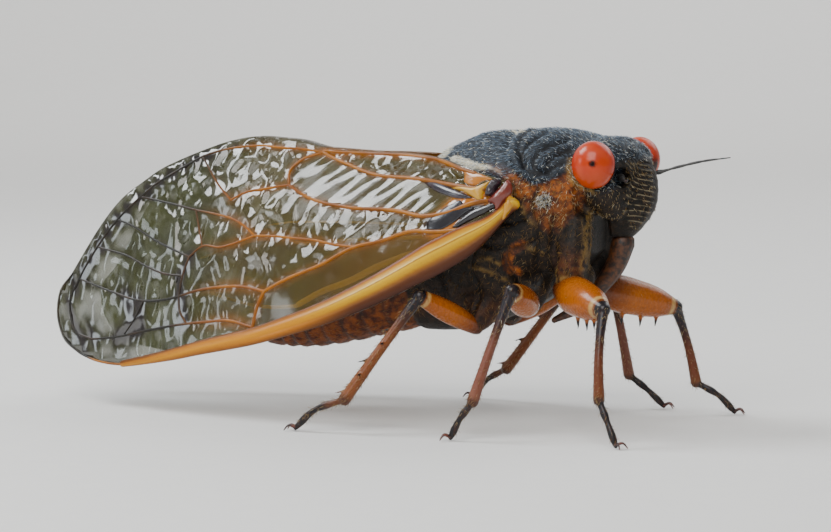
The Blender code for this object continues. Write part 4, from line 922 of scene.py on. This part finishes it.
def hair_mesh(name, roots, ways, bends, lengths, tones, thickness):
    """One mesh of thin, three-sided, bent hairs, with each hair's patch in the map OFBake."""
    count = len(roots)
    across = np.cross(ways, (0.31, 0.47, 0.83))
    across /= np.linalg.norm(across, axis=1)[:, None]
    third = np.cross(ways, across)
    levels = []
    for share, size in ((-0.05, 1.0), (0.5, 0.75), (1.0, 0.12)):
        centre = roots + (lengths * share)[:, None] * ways + (lengths * share * share)[:, None] * bends
        for angle in (0.0, math.tau / 3, 2 * math.tau / 3):
            levels.append(centre + (thickness * size)[:, None] * (math.cos(angle) * across
                                                                  + math.sin(angle) * third))
    points = np.stack(levels, axis=1).reshape(-1, 3)
    pattern = [(2, 1, 0), (6, 7, 8)]
    for level in (0, 3):
        for j in range(3):
            k = (j + 1) % 3
            pattern.append((level + j, level + k, level + 3 + k))
            pattern.append((level + j, level + 3 + k, level + 3 + j))
    faces = (np.array(pattern)[None] + 9 * np.arange(count)[:, None, None]).reshape(-1, 3)
    mesh = bpy.data.meshes.new(name)
    mesh.vertices.add(len(points))
    mesh.vertices.foreach_set("co", points.ravel())
    mesh.loops.add(faces.size)
    mesh.loops.foreach_set("vertex_index", faces.ravel().astype(np.int32))
    mesh.polygons.add(len(faces))
    mesh.polygons.foreach_set("loop_start", (3 * np.arange(len(faces))).astype(np.int32))
    mesh.update(calc_edges=True)
    piece = bpy.data.objects.new(name, mesh)
    bpy.context.collection.objects.link(piece)
    low, high = roots.min(axis=0), roots.max(axis=0)
    along = (roots[:, 0] - low[0]) / (high[0] - low[0])
    around = np.arctan2(roots[:, 1], roots[:, 2] - 0.5 * (low[2] + high[2])) / math.tau + 0.5
    home = np.stack((along, around), 1) * 0.994
    patch = np.tile(np.array([(0.0, 0.0), (0.003, 0.0), (0.0015, 0.003)]), (3, 1))
    spots = (home[:, None] + patch[None]).reshape(-1, 2)
    chart = mesh.uv_layers.new(name="OFBake")
    chart.data.foreach_set("uv", spots[faces.ravel()].astype(np.float32).ravel())
    paint(piece, "tone", np.repeat(tones, 9))
    return piece


def grow(piece, mask, count, length, tone, stand, lie, dice, spread=0.35):
    """Roots, ways, bends, lengths and tones of one kind of hair. lie gives the coat's direction."""
    roots, normals = hair_roots(piece, mask, count, dice)
    flow = lie(roots) + spread * dice.normal(size=(count, 3))
    flow -= (flow * normals).sum(axis=1)[:, None] * normals
    flow /= np.linalg.norm(flow, axis=1)[:, None]
    ways = flow + stand * dice.uniform(0.5, 1.5, (count, 1)) * normals
    ways /= np.linalg.norm(ways, axis=1)[:, None]
    bends = -0.25 * stand * normals
    lengths = length * dice.uniform(0.6, 1.25, count)
    tones = np.clip(tone + 0.09 * dice.normal(size=count), 0, 1)
    return roots, ways, bends, lengths, tones


def one_way(way):
    """A coat of hair that lies the same way everywhere."""
    return lambda roots: np.tile(way, (len(roots), 1))


backwards = one_way((-1.0, 0.0, -0.25))
downwards = one_way((-0.35, 0.0, -1.0))
forwards = one_way((0.6, 0.0, -0.8))


def swirling(roots):
    """Round the middle of the pronotum's side, and straight back near the crest."""
    turn = roots[:, (0, 2)] - SWIRL_CENTRE
    ring = np.stack((turn[:, 1], 0 * turn[:, 1], -turn[:, 0]), 1)
    ring /= np.linalg.norm(turn, axis=1)[:, None] + 0.2
    share = (rise(1.4, 2.6, np.abs(roots[:, 1])) * rise(2.6, 1.6, np.linalg.norm(turn, axis=1)))[:, None]
    return -ring * share + backwards(roots) * (1 - share)


def body_hairs(skin, masks):
    """Silvery down on the back, golden hairs on the flanks and cream hairs at the pale edges."""
    dice = np.random.default_rng(HAIR_SEED)
    mirrored = places_of(skin)
    mirrored[:, 1] = np.abs(mirrored[:, 1])
    blot = blob(mirrored, CHEEK_BLOT, (0.75, 1.2, 0.7)) * masks["cheek"]
    kinds = (
        (masks["down"], 4600, 0.26, 0.12, 0.4, swirling, 0.3),
        (masks["down"], 900, 0.2, 0.36, 0.5, swirling, 0.5),
        (masks["cream"], 1900, 0.3, 0.46, 0.6, backwards, 0.5),
        (masks["behind_eye"], 760, 0.3, 0.49, 0.7, forwards, 0.4),
        (masks["cheek"], 700, 0.26, 0.68, 0.7, downwards, 0.8),
        (blot, 240, 0.24, 0.4, 0.7, downwards, 0.8),
        (masks["flank"], 2500, 0.34, 0.84, 0.6, downwards, 0.6),
        (masks["gena"], 260, 0.2, 0.66, 0.6, downwards, 0.5),
        (masks["face"], 260, 0.2, 0.72, 0.5, forwards, 0.3),
        (masks["belly"], 900, 0.22, 0.82, 0.4, backwards, 0.3),
        (masks["coxa"], 160, 0.28, 0.8, 0.6, downwards, 0.3),
        (masks["crown"], 480, 0.22, 0.34, 0.6, forwards, 0.6),
    )
    grown = [grow(skin, mask, count, length, tone, stand, lie, dice, spread)
             for mask, count, length, tone, stand, lie, spread in kinds]
    roots, ways, bends, lengths, tones = (np.concatenate(parts) for parts in zip(*grown))
    thickness = HAIR_THICKNESS * dice.uniform(0.6, 1.2, len(roots))
    return hair_mesh("body_hairs", roots, ways, bends, lengths, tones, thickness)


def eyes(finish):
    for word, side in SIDES:
        eye = ball("eye_ball_" + word, on_side(EYE_PLACE, side), EYE_RADII, 64, 48)
        places = places_of(eye) - on_side(EYE_PLACE, side)
        outwards = places[:, 1] * side
        spot = np.array(EYE_SPOT) * (1, -side, 1)
        paint(eye, "spot", rise(EYE_SPOT_RADIUS * 1.25, EYE_SPOT_RADIUS * 0.6,
                                np.linalg.norm(places - spot, axis=1)))
        # A painted pinkish highlight over the eye's top
        paint(eye, "upper", 0.55 * rise(0.2, 1.2, places[:, 2])
              * rise(1.4, 0.6, places[:, 2] + 0.3 * places[:, 0]))
        paint(eye, "low", 0.7 * rise(-0.1, -0.9, places[:, 2]))
        # Painted shade: a dark rim on the eye's inner, lower side, where it meets the head
        paint(eye, "rim", rise(0.06, -0.08, outwards + 0.1 * places[:, 0]) * rise(0.4, -0.2, places[:, 2]))
        finish_piece(eye, finish, "eye_red", "eye_" + word)


def leg_skin(leg, side, hip, knee, ankle, bend, tip, finish):
    """Thigh, shin and foot under one skin, with their spines."""
    hip, knee, ankle, bend, tip = (on_side(point, side) for point in (hip, knee, ankle, bend, tip))
    word = SIDE_WORDS[side]
    way = (knee - hip) / np.linalg.norm(knee - hip)
    start, end = hip + THIGH_START[leg] * way, knee - 0.12 * way
    shares = np.linspace(0, 1, 15)
    thickness = curve_through(list(zip((0, 0.25, 0.5, 0.78, 1), THIGH_RADII[leg])))
    parts = [tube("thigh", start + shares[:, None] * (end - start), thickness(shares), 28)]
    down = (ankle - knee) / np.linalg.norm(ankle - knee)
    outward = np.array((0.0, side, 0.0)) - side * down[1] * down
    bow = SHIN_BOW[leg] * np.sin(math.pi * shares)
    shin = knee + shares[:, None] * (ankle - knee) + bow[:, None] * outward
    slim = curve_through(list(zip((0, 0.15, 0.7, 1), SHIN_RADII[leg])))
    parts.append(tube("shin", shin, slim(shares), 20))
    foot = bent_line((ankle, bend, tip - np.array((0.0, 0.0, 0.1))), 0.18)
    pads = curve_through(list(zip(np.linspace(0, 1, len(FOOT_RADII)), FOOT_RADII)))
    parts.append(tube("foot", foot, pads(np.linspace(0, 1, len(foot))), 16))
    parts.append(ball("knee_joint", knee, (0.44, 0.44, 0.44)))
    under = np.array((0.0, 0.0, -1.0)) + way[2] * way
    under /= np.linalg.norm(under)
    spines = []
    if leg == "front":
        for share, length in THIGH_SPINES:
            root = start + share * (end - start) + 0.5 * under
            point = root + (0.6 + 0.8 * length) * under + 0.25 * length * way
            spines.append((root, point, 0.16 + 0.12 * length))
    if leg == "hind":
        for k, share in enumerate(SHIN_SPINES):
            lean = outward if k % 2 else np.array((-1.0, 0.0, 0.0))
            root = knee + share * (ankle - knee)
            spines.append((root, root + 0.95 * lean + 0.35 * down, 0.13))
    for k in (-1, 1):
        lean = np.cross(down, outward) * k
        spines.append((ankle - 0.1 * down, ankle + 0.35 * lean + 0.3 * down, 0.13))
    for root, point, size in spines:
        line = root + np.linspace(0, 1, 5)[:, None] * (point - root)
        parts.append(tube("spine", line, np.linspace(size, 0.035, 5), 10))
    skin = join_pieces(f"{leg}_leg_{word}", parts)
    one_skin(skin, LEG_VOXEL)

    places = places_of(skin)
    lines = ((start, end), (knee, ankle), (ankle, tip))
    away = np.stack([away_from_line(places, line) for line in ((start, end), shin, foot)], 1)
    which = np.argmin(away - np.array((0.5, 0.1, 0.0)), axis=1)
    which = np.where((which == 0) & ((places - end) @ way > 0), 1, which)
    place = np.zeros(len(places))
    for k, (first, last) in enumerate(lines):
        span = last - first
        share = np.clip((places - first) @ span / np.dot(span, span), 0, 1)
        if k == 1:
            share = np.interp(share, (0, SHIN_BLACK_SHARE[leg], 1), (0.06, 0.33, 1))
        place = np.where(which == k, k + share, place)
    limits = np.where(which == 0, thickness(np.clip(place, 0, 1)),
                      np.where(which == 1, slim(np.clip(place - 1, 0, 1)), 1.0))
    nearest = away[np.arange(len(places)), which]
    paint(skin, "place", place)
    paint(skin, "spine", rise(1.08, 1.3, nearest / limits) * (which < 2) * rise(0.97, 0.9, place % 1))
    low_shin = rise(1.35, 1.55, place) * rise(2.02, 1.95, place)
    paint(skin, "warm", (low_shin + 0.6 * rise(2.45, 2.2, place) * (which == 2)) * (leg == "hind"))
    paint(skin, "pink", low_shin * (leg == "mid"))
    places = np.maximum(places, (-1e9, -1e9, 0.0))
    skin.data.vertices.foreach_set("co", places.ravel())
    skin.data.update()
    dice = np.random.default_rng(HAIR_SEED + len(leg) + side)
    below_knee = (place > 0.97) * rise(0.25, 0.6, places[:, 2]) * (1.0 if leg == "hind" else 0.6)
    hairy = below_knee + 0.1 * (place > 0.2)
    hairs = grow(skin, hairy, LEG_HAIRS[leg], 0.3, 0.75, 0.8, one_way(down + 0.6 * outward), dice)
    finish_piece(skin, finish, "leg_orange", *(f"{leg}_{part}_{word}" for part in ("femur", "shin", "foot")))
    return hairs


def claws(leg, side, ankle, tip, finish):
    """Two thin hooks at the end of a foot."""
    word = SIDE_WORDS[side]
    ankle, tip = on_side(ankle, side), on_side(tip, side)
    heading = (tip - ankle) * (1, 1, 0)
    heading /= np.linalg.norm(heading)
    sideways = np.array((-heading[1], heading[0], 0.0))
    hooks = []
    for spread in (-1, 1):
        line = bent_line((tip + 0.06 * spread * sideways + (0, 0, -0.05),
                          tip + 0.38 * heading + 0.2 * spread * sideways + (0, 0, 0.08),
                          tip + 0.62 * heading + 0.34 * spread * sideways + (0, 0, -0.2)), 0.08)
        hooks.append(tube("hook", line, np.linspace(0.11, 0.03, len(line)), 10))
    piece = join_pieces(f"{leg}_claws_{word}", hooks)
    finish_piece(piece, finish, "leg_dark")


def beak(finish):
    line = bent_line(BEAK, 0.2)
    taper = curve_through(list(zip(np.linspace(0, 1, len(BEAK_RADII)), BEAK_RADII)))
    piece = tube("beak_sheath", line, taper(np.linspace(0, 1, len(line))), 24)
    places = places_of(piece)
    push(piece, -0.07 * near(places[:, 1], 0.07) * rise(0.0, -0.1, -normals_of(piece)[:, 0]))
    finish_piece(piece, finish, "shell_black", "beak")


def feelers(finish):
    """Each feeler is one bristle: a stout root, a knob and a jointed whip."""
    for word, side in SIDES:
        line = bent_line([on_side(point, side) for point in FEELERS[word]], 0.12)
        share = np.linspace(0, 1, len(line))
        radii = curve_through(((0.0, 0.24), (0.06, 0.2), (0.1, 0.12), (0.15, 0.16), (0.2, 0.11), (0.4, 0.09),
                               (0.7, 0.075), (1.0, 0.03)))(share)
        radii *= 1 - 0.22 * near((share * 5.2) % 1 - 0.5, 0.12) * rise(0.25, 0.3, share)
        piece = tube("feeler_bristle_" + word, line, radii, 14)
        finish_piece(piece, finish, "shell_black", "feeler_" + word)


class Roof:
    """The folded wings' surface: a bowed sheet between the ridge and the low costal line."""

    def __init__(self):
        self.ridge_height, self.ridge_out = curve_through(ROOF_RIDGE_HEIGHT), curve_through(ROOF_RIDGE_OUT)
        self.low_height, self.low_out = curve_through(ROOF_LOW_HEIGHT), curve_through(ROOF_LOW_OUT)

    def flat(self, places):
        """Turns side-view places into places on the flattened sheet."""
        x, z = np.array(places, float).T
        share = np.maximum((self.ridge_height(x) - z) / (self.ridge_height(x) - self.low_height(x)), 0)
        lean = 1 - ROOF_BOW
        down = (np.sqrt(lean * lean + 4 * ROOF_BOW * share) - lean) / (2 * ROOF_BOW)
        return np.stack((x, down * ROOF_LEVEL_STRETCH), 1)

    def sheet(self, x, down):
        out = self.ridge_out(x) + (self.low_out(x) - self.ridge_out(x)) * down * (1 + ROOF_BOW * (1 - down))
        height = self.ridge_height(x) - ((self.ridge_height(x) - self.low_height(x))
                                         * down * (1 - ROOF_BOW * (1 - down)))
        return np.stack((x, out, height), 1)

    def normals(self, flat):
        x, down = flat[:, 0], flat[:, 1] / ROOF_LEVEL_STRETCH
        along = self.sheet(x + 0.05, down) - self.sheet(x - 0.05, down)
        across = self.sheet(x, down + 0.01) - self.sheet(x, down - 0.01)
        normal = np.cross(along, across)
        normal /= np.linalg.norm(normal, axis=1)[:, None]
        return np.where(normal[:, 1:2] < 0, -normal, normal)

    def points(self, flat, side, out):
        """Places in space of flattened places, moved outwards from the sheet by out."""
        middle = self.sheet(flat[:, 0], flat[:, 1] / ROOF_LEVEL_STRETCH)
        return (middle + np.reshape(out, (-1, 1)) * self.normals(flat)) * (1, side, 1)


ROOF = Roof()


def inside(places, outline):
    odd = np.zeros(len(places), bool)
    for start, end in zip(outline, np.roll(outline, -1, axis=0)):
        spans = (start[1] > places[:, 1]) != (end[1] > places[:, 1])
        if start[1] != end[1]:
            crossing = start[0] + (places[:, 1] - start[1]) / (end[1] - start[1]) * (end[0] - start[0])
            odd ^= spans & (places[:, 0] < crossing)
    return odd


def filled(outline, grid, gap):
    """Flat places and faces inside an outline, from the grid's places that keep a gap to it."""
    grid = grid[inside(grid, outline)]
    grid = grid[away_from_line(grid, np.concatenate((outline, outline[:1]))) > gap]
    points = [Vector(place) for place in np.concatenate((outline, grid))]
    rim = [(i, (i + 1) % len(outline)) for i in range(len(outline))]
    net = delaunay_2d_cdt(points, rim, [], 0, 0.001, False)
    flat, faces = np.array([tuple(place) for place in net[0]]), net[2]
    middles = np.array([flat[list(face)].mean(axis=0) for face in faces])
    return flat, [face for face, kept in zip(faces, inside(middles, outline)) if kept]


def two_faced(name, over, under, faces):
    """A thin closed piece between an upper and a lower sheet with the same faces."""
    count = len(over)
    sides = dict.fromkeys((a, b) for face in faces for a, b in zip(face, face[1:] + face[:1]))
    whole = [tuple(face) for face in faces] + [tuple(i + count for i in reversed(face)) for face in faces]
    whole += [(b, a, a + count, b + count) for a, b in sides if (b, a) not in sides]
    made = new_piece(name, np.concatenate((over, under)), whole)
    face_outwards(made)
    return made


def from_vein(flat, vein, step):
    """How far each flattened place lies from a vein that is given in side view."""
    return away_from_line(flat, bent_line(ROOF.flat(vein), step))


def film(name, side, edges, veins, depth):
    """A thin membrane on the roof, with each point's flattened place and distance to a vein."""
    outline = np.concatenate([bent_line(ROOF.flat(edge), MEMBRANE_STEP) for edge in edges])
    low, high = outline.min(axis=0), outline.max(axis=0)
    across = np.arange(low[0], high[0], MEMBRANE_STEP)
    rows = np.arange(low[1], high[1], 0.87 * MEMBRANE_STEP)
    grid = np.array([(x + 0.5 * MEMBRANE_STEP * (k % 2), level)
                     for k, level in enumerate(rows) for x in across])
    flat, faces = filled(outline, grid, 0.5 * MEMBRANE_STEP)
    vein_near = np.min([from_vein(flat, vein, 0.6) for vein, first, last in veins], axis=0)
    sag = 0.03 * rise(0.1, 0.9, vein_near) * np.sin(2.1 * flat[:, 0] + 1.3 * np.sin(0.9 * flat[:, 1]))
    over, under = (ROOF.points(flat, side, sag + way * MEMBRANE_HALF_THICKNESS - depth) for way in (1, -1))
    piece = two_faced(name, over, under, faces)
    both = np.concatenate((flat, flat))
    layer = piece.data.attributes.new("flat", "FLOAT_VECTOR", "POINT")
    layer.data.foreach_set("vector", np.pad(both, ((0, 0), (0, 1))).astype(np.float32).ravel())
    return piece, both, np.concatenate((vein_near, vein_near))


def vein_tubes(name, side, veins, depth):
    """Raised veins along the membrane, in one piece."""
    tubes = []
    for vein, first, last in veins:
        flat = bent_line(ROOF.flat(vein), LINE_STEP)
        radii = np.linspace(first, last, len(flat))
        centres = ROOF.points(flat, side, 0.03 - depth)
        tubes.append(tube("vein", centres, radii, 8, radii * 0.95, ROOF.normals(flat) * (1, side, 1)))
    return join_pieces(name, tubes)


def costa(name, side, finish):
    """The thick border along the lower edge: a flattened rod with three soft ridges."""
    edge = bent_line(COSTA_EDGE, LINE_STEP)
    high = curve_through(COSTA_WIDTH)(edge[:, 0])
    flat = ROOF.flat(edge + np.stack((0 * high, 0.5 * high), 1))
    middle = ROOF.points(flat, side, 0.0)
    low_edge = ROOF.points(bent_line(ROOF.flat(COSTA_EDGE), LINE_STEP), side, 0.0)
    half = away_from_line(middle, low_edge)
    wide = half + COSTA_OVERLAP
    piece = tube(name, middle, wide, 28, np.minimum(COSTA_THICKNESS, wide), ROOF.normals(flat) * (1, side, 1))
    places = places_of(piece)
    nearest = np.argmin(((places[:, None] - middle[None]) ** 2).sum(axis=2), axis=1)
    across = 1 - np.clip(away_from_line(places, low_edge) / (2 * half[nearest]), 0, 1)
    ridges = 0.5 + 0.5 * np.cos(math.tau * 2.4 * (across - 0.36))
    push(piece, 0.1 * (ridges - 0.7) * rise(-9.0, -3.0, places[:, 0]) * rise(0.0, 0.12, across))
    paint(piece, "across", across)
    paint(piece, "outer", rise(2.5, -3.5, places[:, 0]))
    finish_piece(piece, finish, "wing_membrane")


def plate(side, outline, tone, height):
    """A small domed plate on the roof, inside a closed outline in side view."""
    edge = bent_line(ROOF.flat(outline + outline[:1]), PLATE_STEP)[:-1]
    low, high = edge.min(axis=0), edge.max(axis=0)
    grid = np.array([(x, level) for x in np.arange(low[0], high[0], PLATE_STEP)
                     for level in np.arange(low[1], high[1], PLATE_STEP)])
    flat, faces = filled(edge, grid, 0.4 * PLATE_STEP)
    inner = away_from_line(flat, np.concatenate((edge, edge[:1])))
    dome = 0.06 + height * np.sqrt(np.clip(inner / inner.max(), 0, 1))
    made = two_faced("plate", ROOF.points(flat, side, dome), ROOF.points(flat, side, -0.06), faces)
    paint(made, "tone", np.full(2 * len(flat), tone))
    return made


def forewing(word, side, finishes):
    """Film, veins, costa and root plates of one forewing."""
    piece, flat, vein_near = film("forewing_film_" + word, side,
                                  (COSTA_EDGE, WING_TIP_EDGE, WING_INNER_EDGE), FOREWING_VEINS, 0.0)
    place, down = flat.T
    tip = rise(-7.0, -12.0, place)
    halo = near(vein_near, VEIN_HALO)
    smudge = along_lines(flat, [ROOF.flat(line) for line in TIP_SMUDGES], 0.42, 0.4)
    notches = 0.6 + 0.4 * np.sin(math.tau * (place - down) / MARGIN_NOTCH_STEP)
    margin = notches * rise(1.1, 0.1, from_vein(flat, AMBIENT_VEIN, 0.6))
    dark_root = rise(1.15, 0.6, away_from_line(flat, ROOF.flat(WING_ROOT_DARK)))
    paint(piece, "stain", np.clip(np.maximum(smudge, margin * tip) + (0.1 + 0.45 * halo) * tip
                                  + dark_root, 0, 1))
    inner_rim = rise(0.7, 0.2, from_vein(flat, WING_INNER_RIM, 0.5))
    inner = rise(-5.6, -4.9, place)
    below_medial = rise(-0.15, 0.15, down - curve_through(ROOF.flat(MEDIAL_VEIN)[::-1])(place))
    below_cubital = rise(-0.15, 0.15, down - curve_through(ROOF.flat(CUBITAL_VEIN))(place))
    # Its last term browns the cell between the medial vein and the costa towards the root: painted shade for
    # the dark abdomen behind it
    paint(piece, "amber", np.clip(0.7 * halo * (1 - tip) + 0.35 * inner_rim + 0.12 * (1 - tip)
                                  + 0.2 * inner * below_medial * rise(-4.0, 3.0, place), 0, 1))
    paint(piece, "root", rise(1.9, 0.7, away_from_line(flat, ROOF.flat(WING_ROOT_AMBER))))
    paint(piece, "slanted", inside(flat, bent_line(ROOF.flat(CUBITAL_CELL), 0.5)) * 1.0)
    paint(piece, "calm", 0.5 * inner * (below_cubital + below_medial) + 0.25 * rise(-11.0, -15.0, place))
    paint(piece, "clear", np.zeros(len(flat)))
    finish_piece(piece, finishes["film"], "wing_membrane", "forewing_" + word)
    veins = vein_tubes("forewing_veins_" + word, side, FOREWING_VEINS, 0.0)
    places = places_of(veins)
    low_edge = ROOF.points(bent_line(ROOF.flat(COSTA_EDGE + WING_TIP_EDGE[:1]), 1.0), side, 0.0)
    paint(veins, "dark", rise(-8.0, -12.5, places[:, 0]) * rise(0.5, 1.4, away_from_line(places, low_edge)))
    finish_piece(veins, finishes["vein"], "wing_membrane")
    costa("costa_" + word, side, finishes["costa"])
    plates = join_pieces("wing_root_" + word, [plate(side, *what) for what in WING_ROOT_PLATES])
    finish_piece(plates, finishes["plate"], "leg_orange")


def hindwing(word, side, finishes):
    """Film and veins of one hindwing. Its film is tinted dark brown and amber, partly its real amber and
    partly painted shade for the dark body behind it. Its outer end is clearer, where it shows through the
    forewing.
    """
    piece, flat, vein_near = film("hindwing_film_" + word, side,
                                  (HINDWING_FRONT_EDGE, HINDWING_TIP_EDGE, HINDWING_INNER_EDGE),
                                  HINDWING_VEINS, HINDWING_DEPTH)
    outermost = rise(-4.0, -10.0, flat[:, 0])
    paint(piece, "stain", np.zeros(len(flat)))
    paint(piece, "slanted", np.zeros(len(flat)))
    paint(piece, "calm", 0.6 + 0.4 * outermost)
    paint(piece, "clear", outermost)
    # More amber and opacity towards the root: partly the wing's real amber, partly painted shade for the dark
    # body behind it
    paint(piece, "amber", np.clip((0.6 * near(vein_near, VEIN_HALO) + 0.3) * (1 - 0.7 * outermost)
                                  + 0.5 * rise(0.0, 5.0, flat[:, 0]), 0, 1))
    paint(piece, "root", rise(1.6, 0.6, away_from_line(flat, ROOF.flat(HINDWING_ROOT))))
    finish_piece(piece, finishes["hind film"], "wing_membrane", "hindwing_" + word)
    veins = vein_tubes("hindwing_veins_" + word, side, HINDWING_VEINS, HINDWING_DEPTH)
    paint(veins, "dark", np.zeros(len(places_of(veins))))
    finish_piece(veins, finishes["hind vein"], "wing_membrane")


def wings(finishes):
    for word, side in SIDES:
        forewing(word, side, finishes)
        hindwing(word, side, finishes)


def stage():
    """A plain pale floor that curves up all round, soft studio lights and the camera of the main view."""
    sides = 128
    angles = math.tau * np.arange(sides) / sides
    points = [(0.0, 0.0, 0.0)]
    for out, height in STUDIO_PROFILE:
        points += [(out * math.cos(angle), out * math.sin(angle), height) for angle in angles]
    faces = [(0, 1 + j, 1 + (j + 1) % sides) for j in range(sides)]
    for i in range(len(STUDIO_PROFILE) - 1):
        for j in range(sides):
            k = (j + 1) % sides
            low, high = 1 + i * sides, 1 + (i + 1) * sides
            faces.append((low + j, high + j, high + k, low + k))
    floor = new_piece("studio_floor", points, faces)
    choose(floor)
    bpy.ops.object.shade_smooth()
    paper = Finish("floor_paper", roughness=0.7, specular_ior_level=0.2)
    grain = paper.noise(0.5, 2.0)
    paper.set("Base Color", paper.mix(grain, (0.72, 0.71, 0.69), (0.75, 0.74, 0.72)))
    floor.data.materials.append(paper.material)

    world = bpy.data.worlds.new("studio")
    bpy.context.scene.world = world
    world.use_nodes = True
    world.node_tree.nodes["Background"].inputs["Color"].default_value = (0.82, 0.86, 0.9, 1.0)
    world.node_tree.nodes["Background"].inputs["Strength"].default_value = 0.45

    target = MM * Vector(CAMERA_TARGET)
    wall = Vector((-0.36, 0.8, 0.1))
    # Each lamp: name, aim, direction, distance, size, power and colour
    lights = (("key", target, (-0.62, -0.12, 0.77), 0.22, 0.1, 0.42, (0.93, 0.97, 1.0)),
              ("front", target, (0.12, -0.75, 0.65), 0.34, 0.24, 1.1, (1.0, 0.99, 0.97)),
              ("back", target, (0.3, 0.7, 0.65), 0.3, 0.2, 0.3, (1.0, 1.0, 1.0)),
              ("side", target, (-0.8, -0.54, 0.25), 0.3, 0.09, 0.11, (0.86, 0.94, 1.0)),
              ("backdrop", wall, (0.3, -0.5, 0.55), 0.6, 0.4, 3.0, (1.0, 1.0, 1.0)))
    for name, aim, way, distance, size, power, colour in lights:
        data = bpy.data.lights.new(name, "AREA")
        data.size = size
        data.energy = power
        data.color = colour
        lamp = bpy.data.objects.new(name, data)
        bpy.context.collection.objects.link(lamp)
        away = Vector(way).normalized()
        lamp.location = aim + distance * away
        lamp.rotation_mode = "QUATERNION"
        lamp.rotation_quaternion = away.to_track_quat("Z", "Y")

    azimuth, elevation = math.radians(CAMERA_AZIMUTH), math.radians(CAMERA_ELEVATION)
    back = Vector((math.sin(azimuth) * math.cos(elevation), -math.cos(azimuth) * math.cos(elevation),
                   math.sin(elevation)))
    data = bpy.data.cameras.new("camera")
    data.sensor_width = SENSOR_WIDTH
    data.lens = SENSOR_WIDTH * FOCAL_PIXELS / PICTURE_WIDTH
    data.clip_start = 0.001
    data.clip_end = 20.0
    camera = bpy.data.objects.new("camera", data)
    bpy.context.collection.objects.link(camera)
    camera.location = target + MM * CAMERA_DISTANCE * back
    camera.rotation_mode = "QUATERNION"
    camera.rotation_quaternion = back.to_track_quat("Z", "Y")
    bpy.context.scene.camera = camera


def main():
    stage()
    hair_look = hair_finish()
    hairs = body_skin(shell_finish())
    finish_piece(hairs, hair_look, "shell_black")
    eyes(eye_finish())
    leg_look = leg_finish()
    claw_look = mottled_finish("claw", (0.02, 0.008, 0.007), (0.14, 0.035, 0.02), 0.3)
    grown = []
    for leg, side, hip, knee, ankle, bend, tip in LEGS:
        grown.append(leg_skin(leg, side, hip, knee, ankle, bend, tip, leg_look))
        claws(leg, side, ankle, tip, claw_look)
    roots, ways, bends, lengths, tones = (np.concatenate(parts) for parts in zip(*grown))
    hairs = hair_mesh("leg_hairs", roots, ways, bends, lengths, tones, np.full(len(roots), HAIR_THICKNESS))
    finish_piece(hairs, hair_look, "leg_dark")
    beak(mottled_finish("beak", (0.008, 0.004, 0.003), (0.09, 0.028, 0.006), 0.5))
    feelers(mottled_finish("feeler", (0.008, 0.008, 0.009), (0.035, 0.032, 0.03), 0.4))
    wings({
        "film": membrane_finish("forewing_film", (0.062, 0.068, 0.018), 1.85),
        # The hindwing's dark brown tint: partly its real amber, partly painted shade for the dark body behind
        # it
        "hind film": membrane_finish("hindwing_film", (0.07, 0.036, 0.006), 1.5),
        "vein": vein_finish("vein", (0.17, 0.05, 0.003), (0.32, 0.11, 0.004)),
        "hind vein": vein_finish("hind_vein", (0.72, 0.33, 0.008), (0.8, 0.42, 0.012)),
        "costa": costa_finish(),
        "plate": plate_finish(),
    })


main()
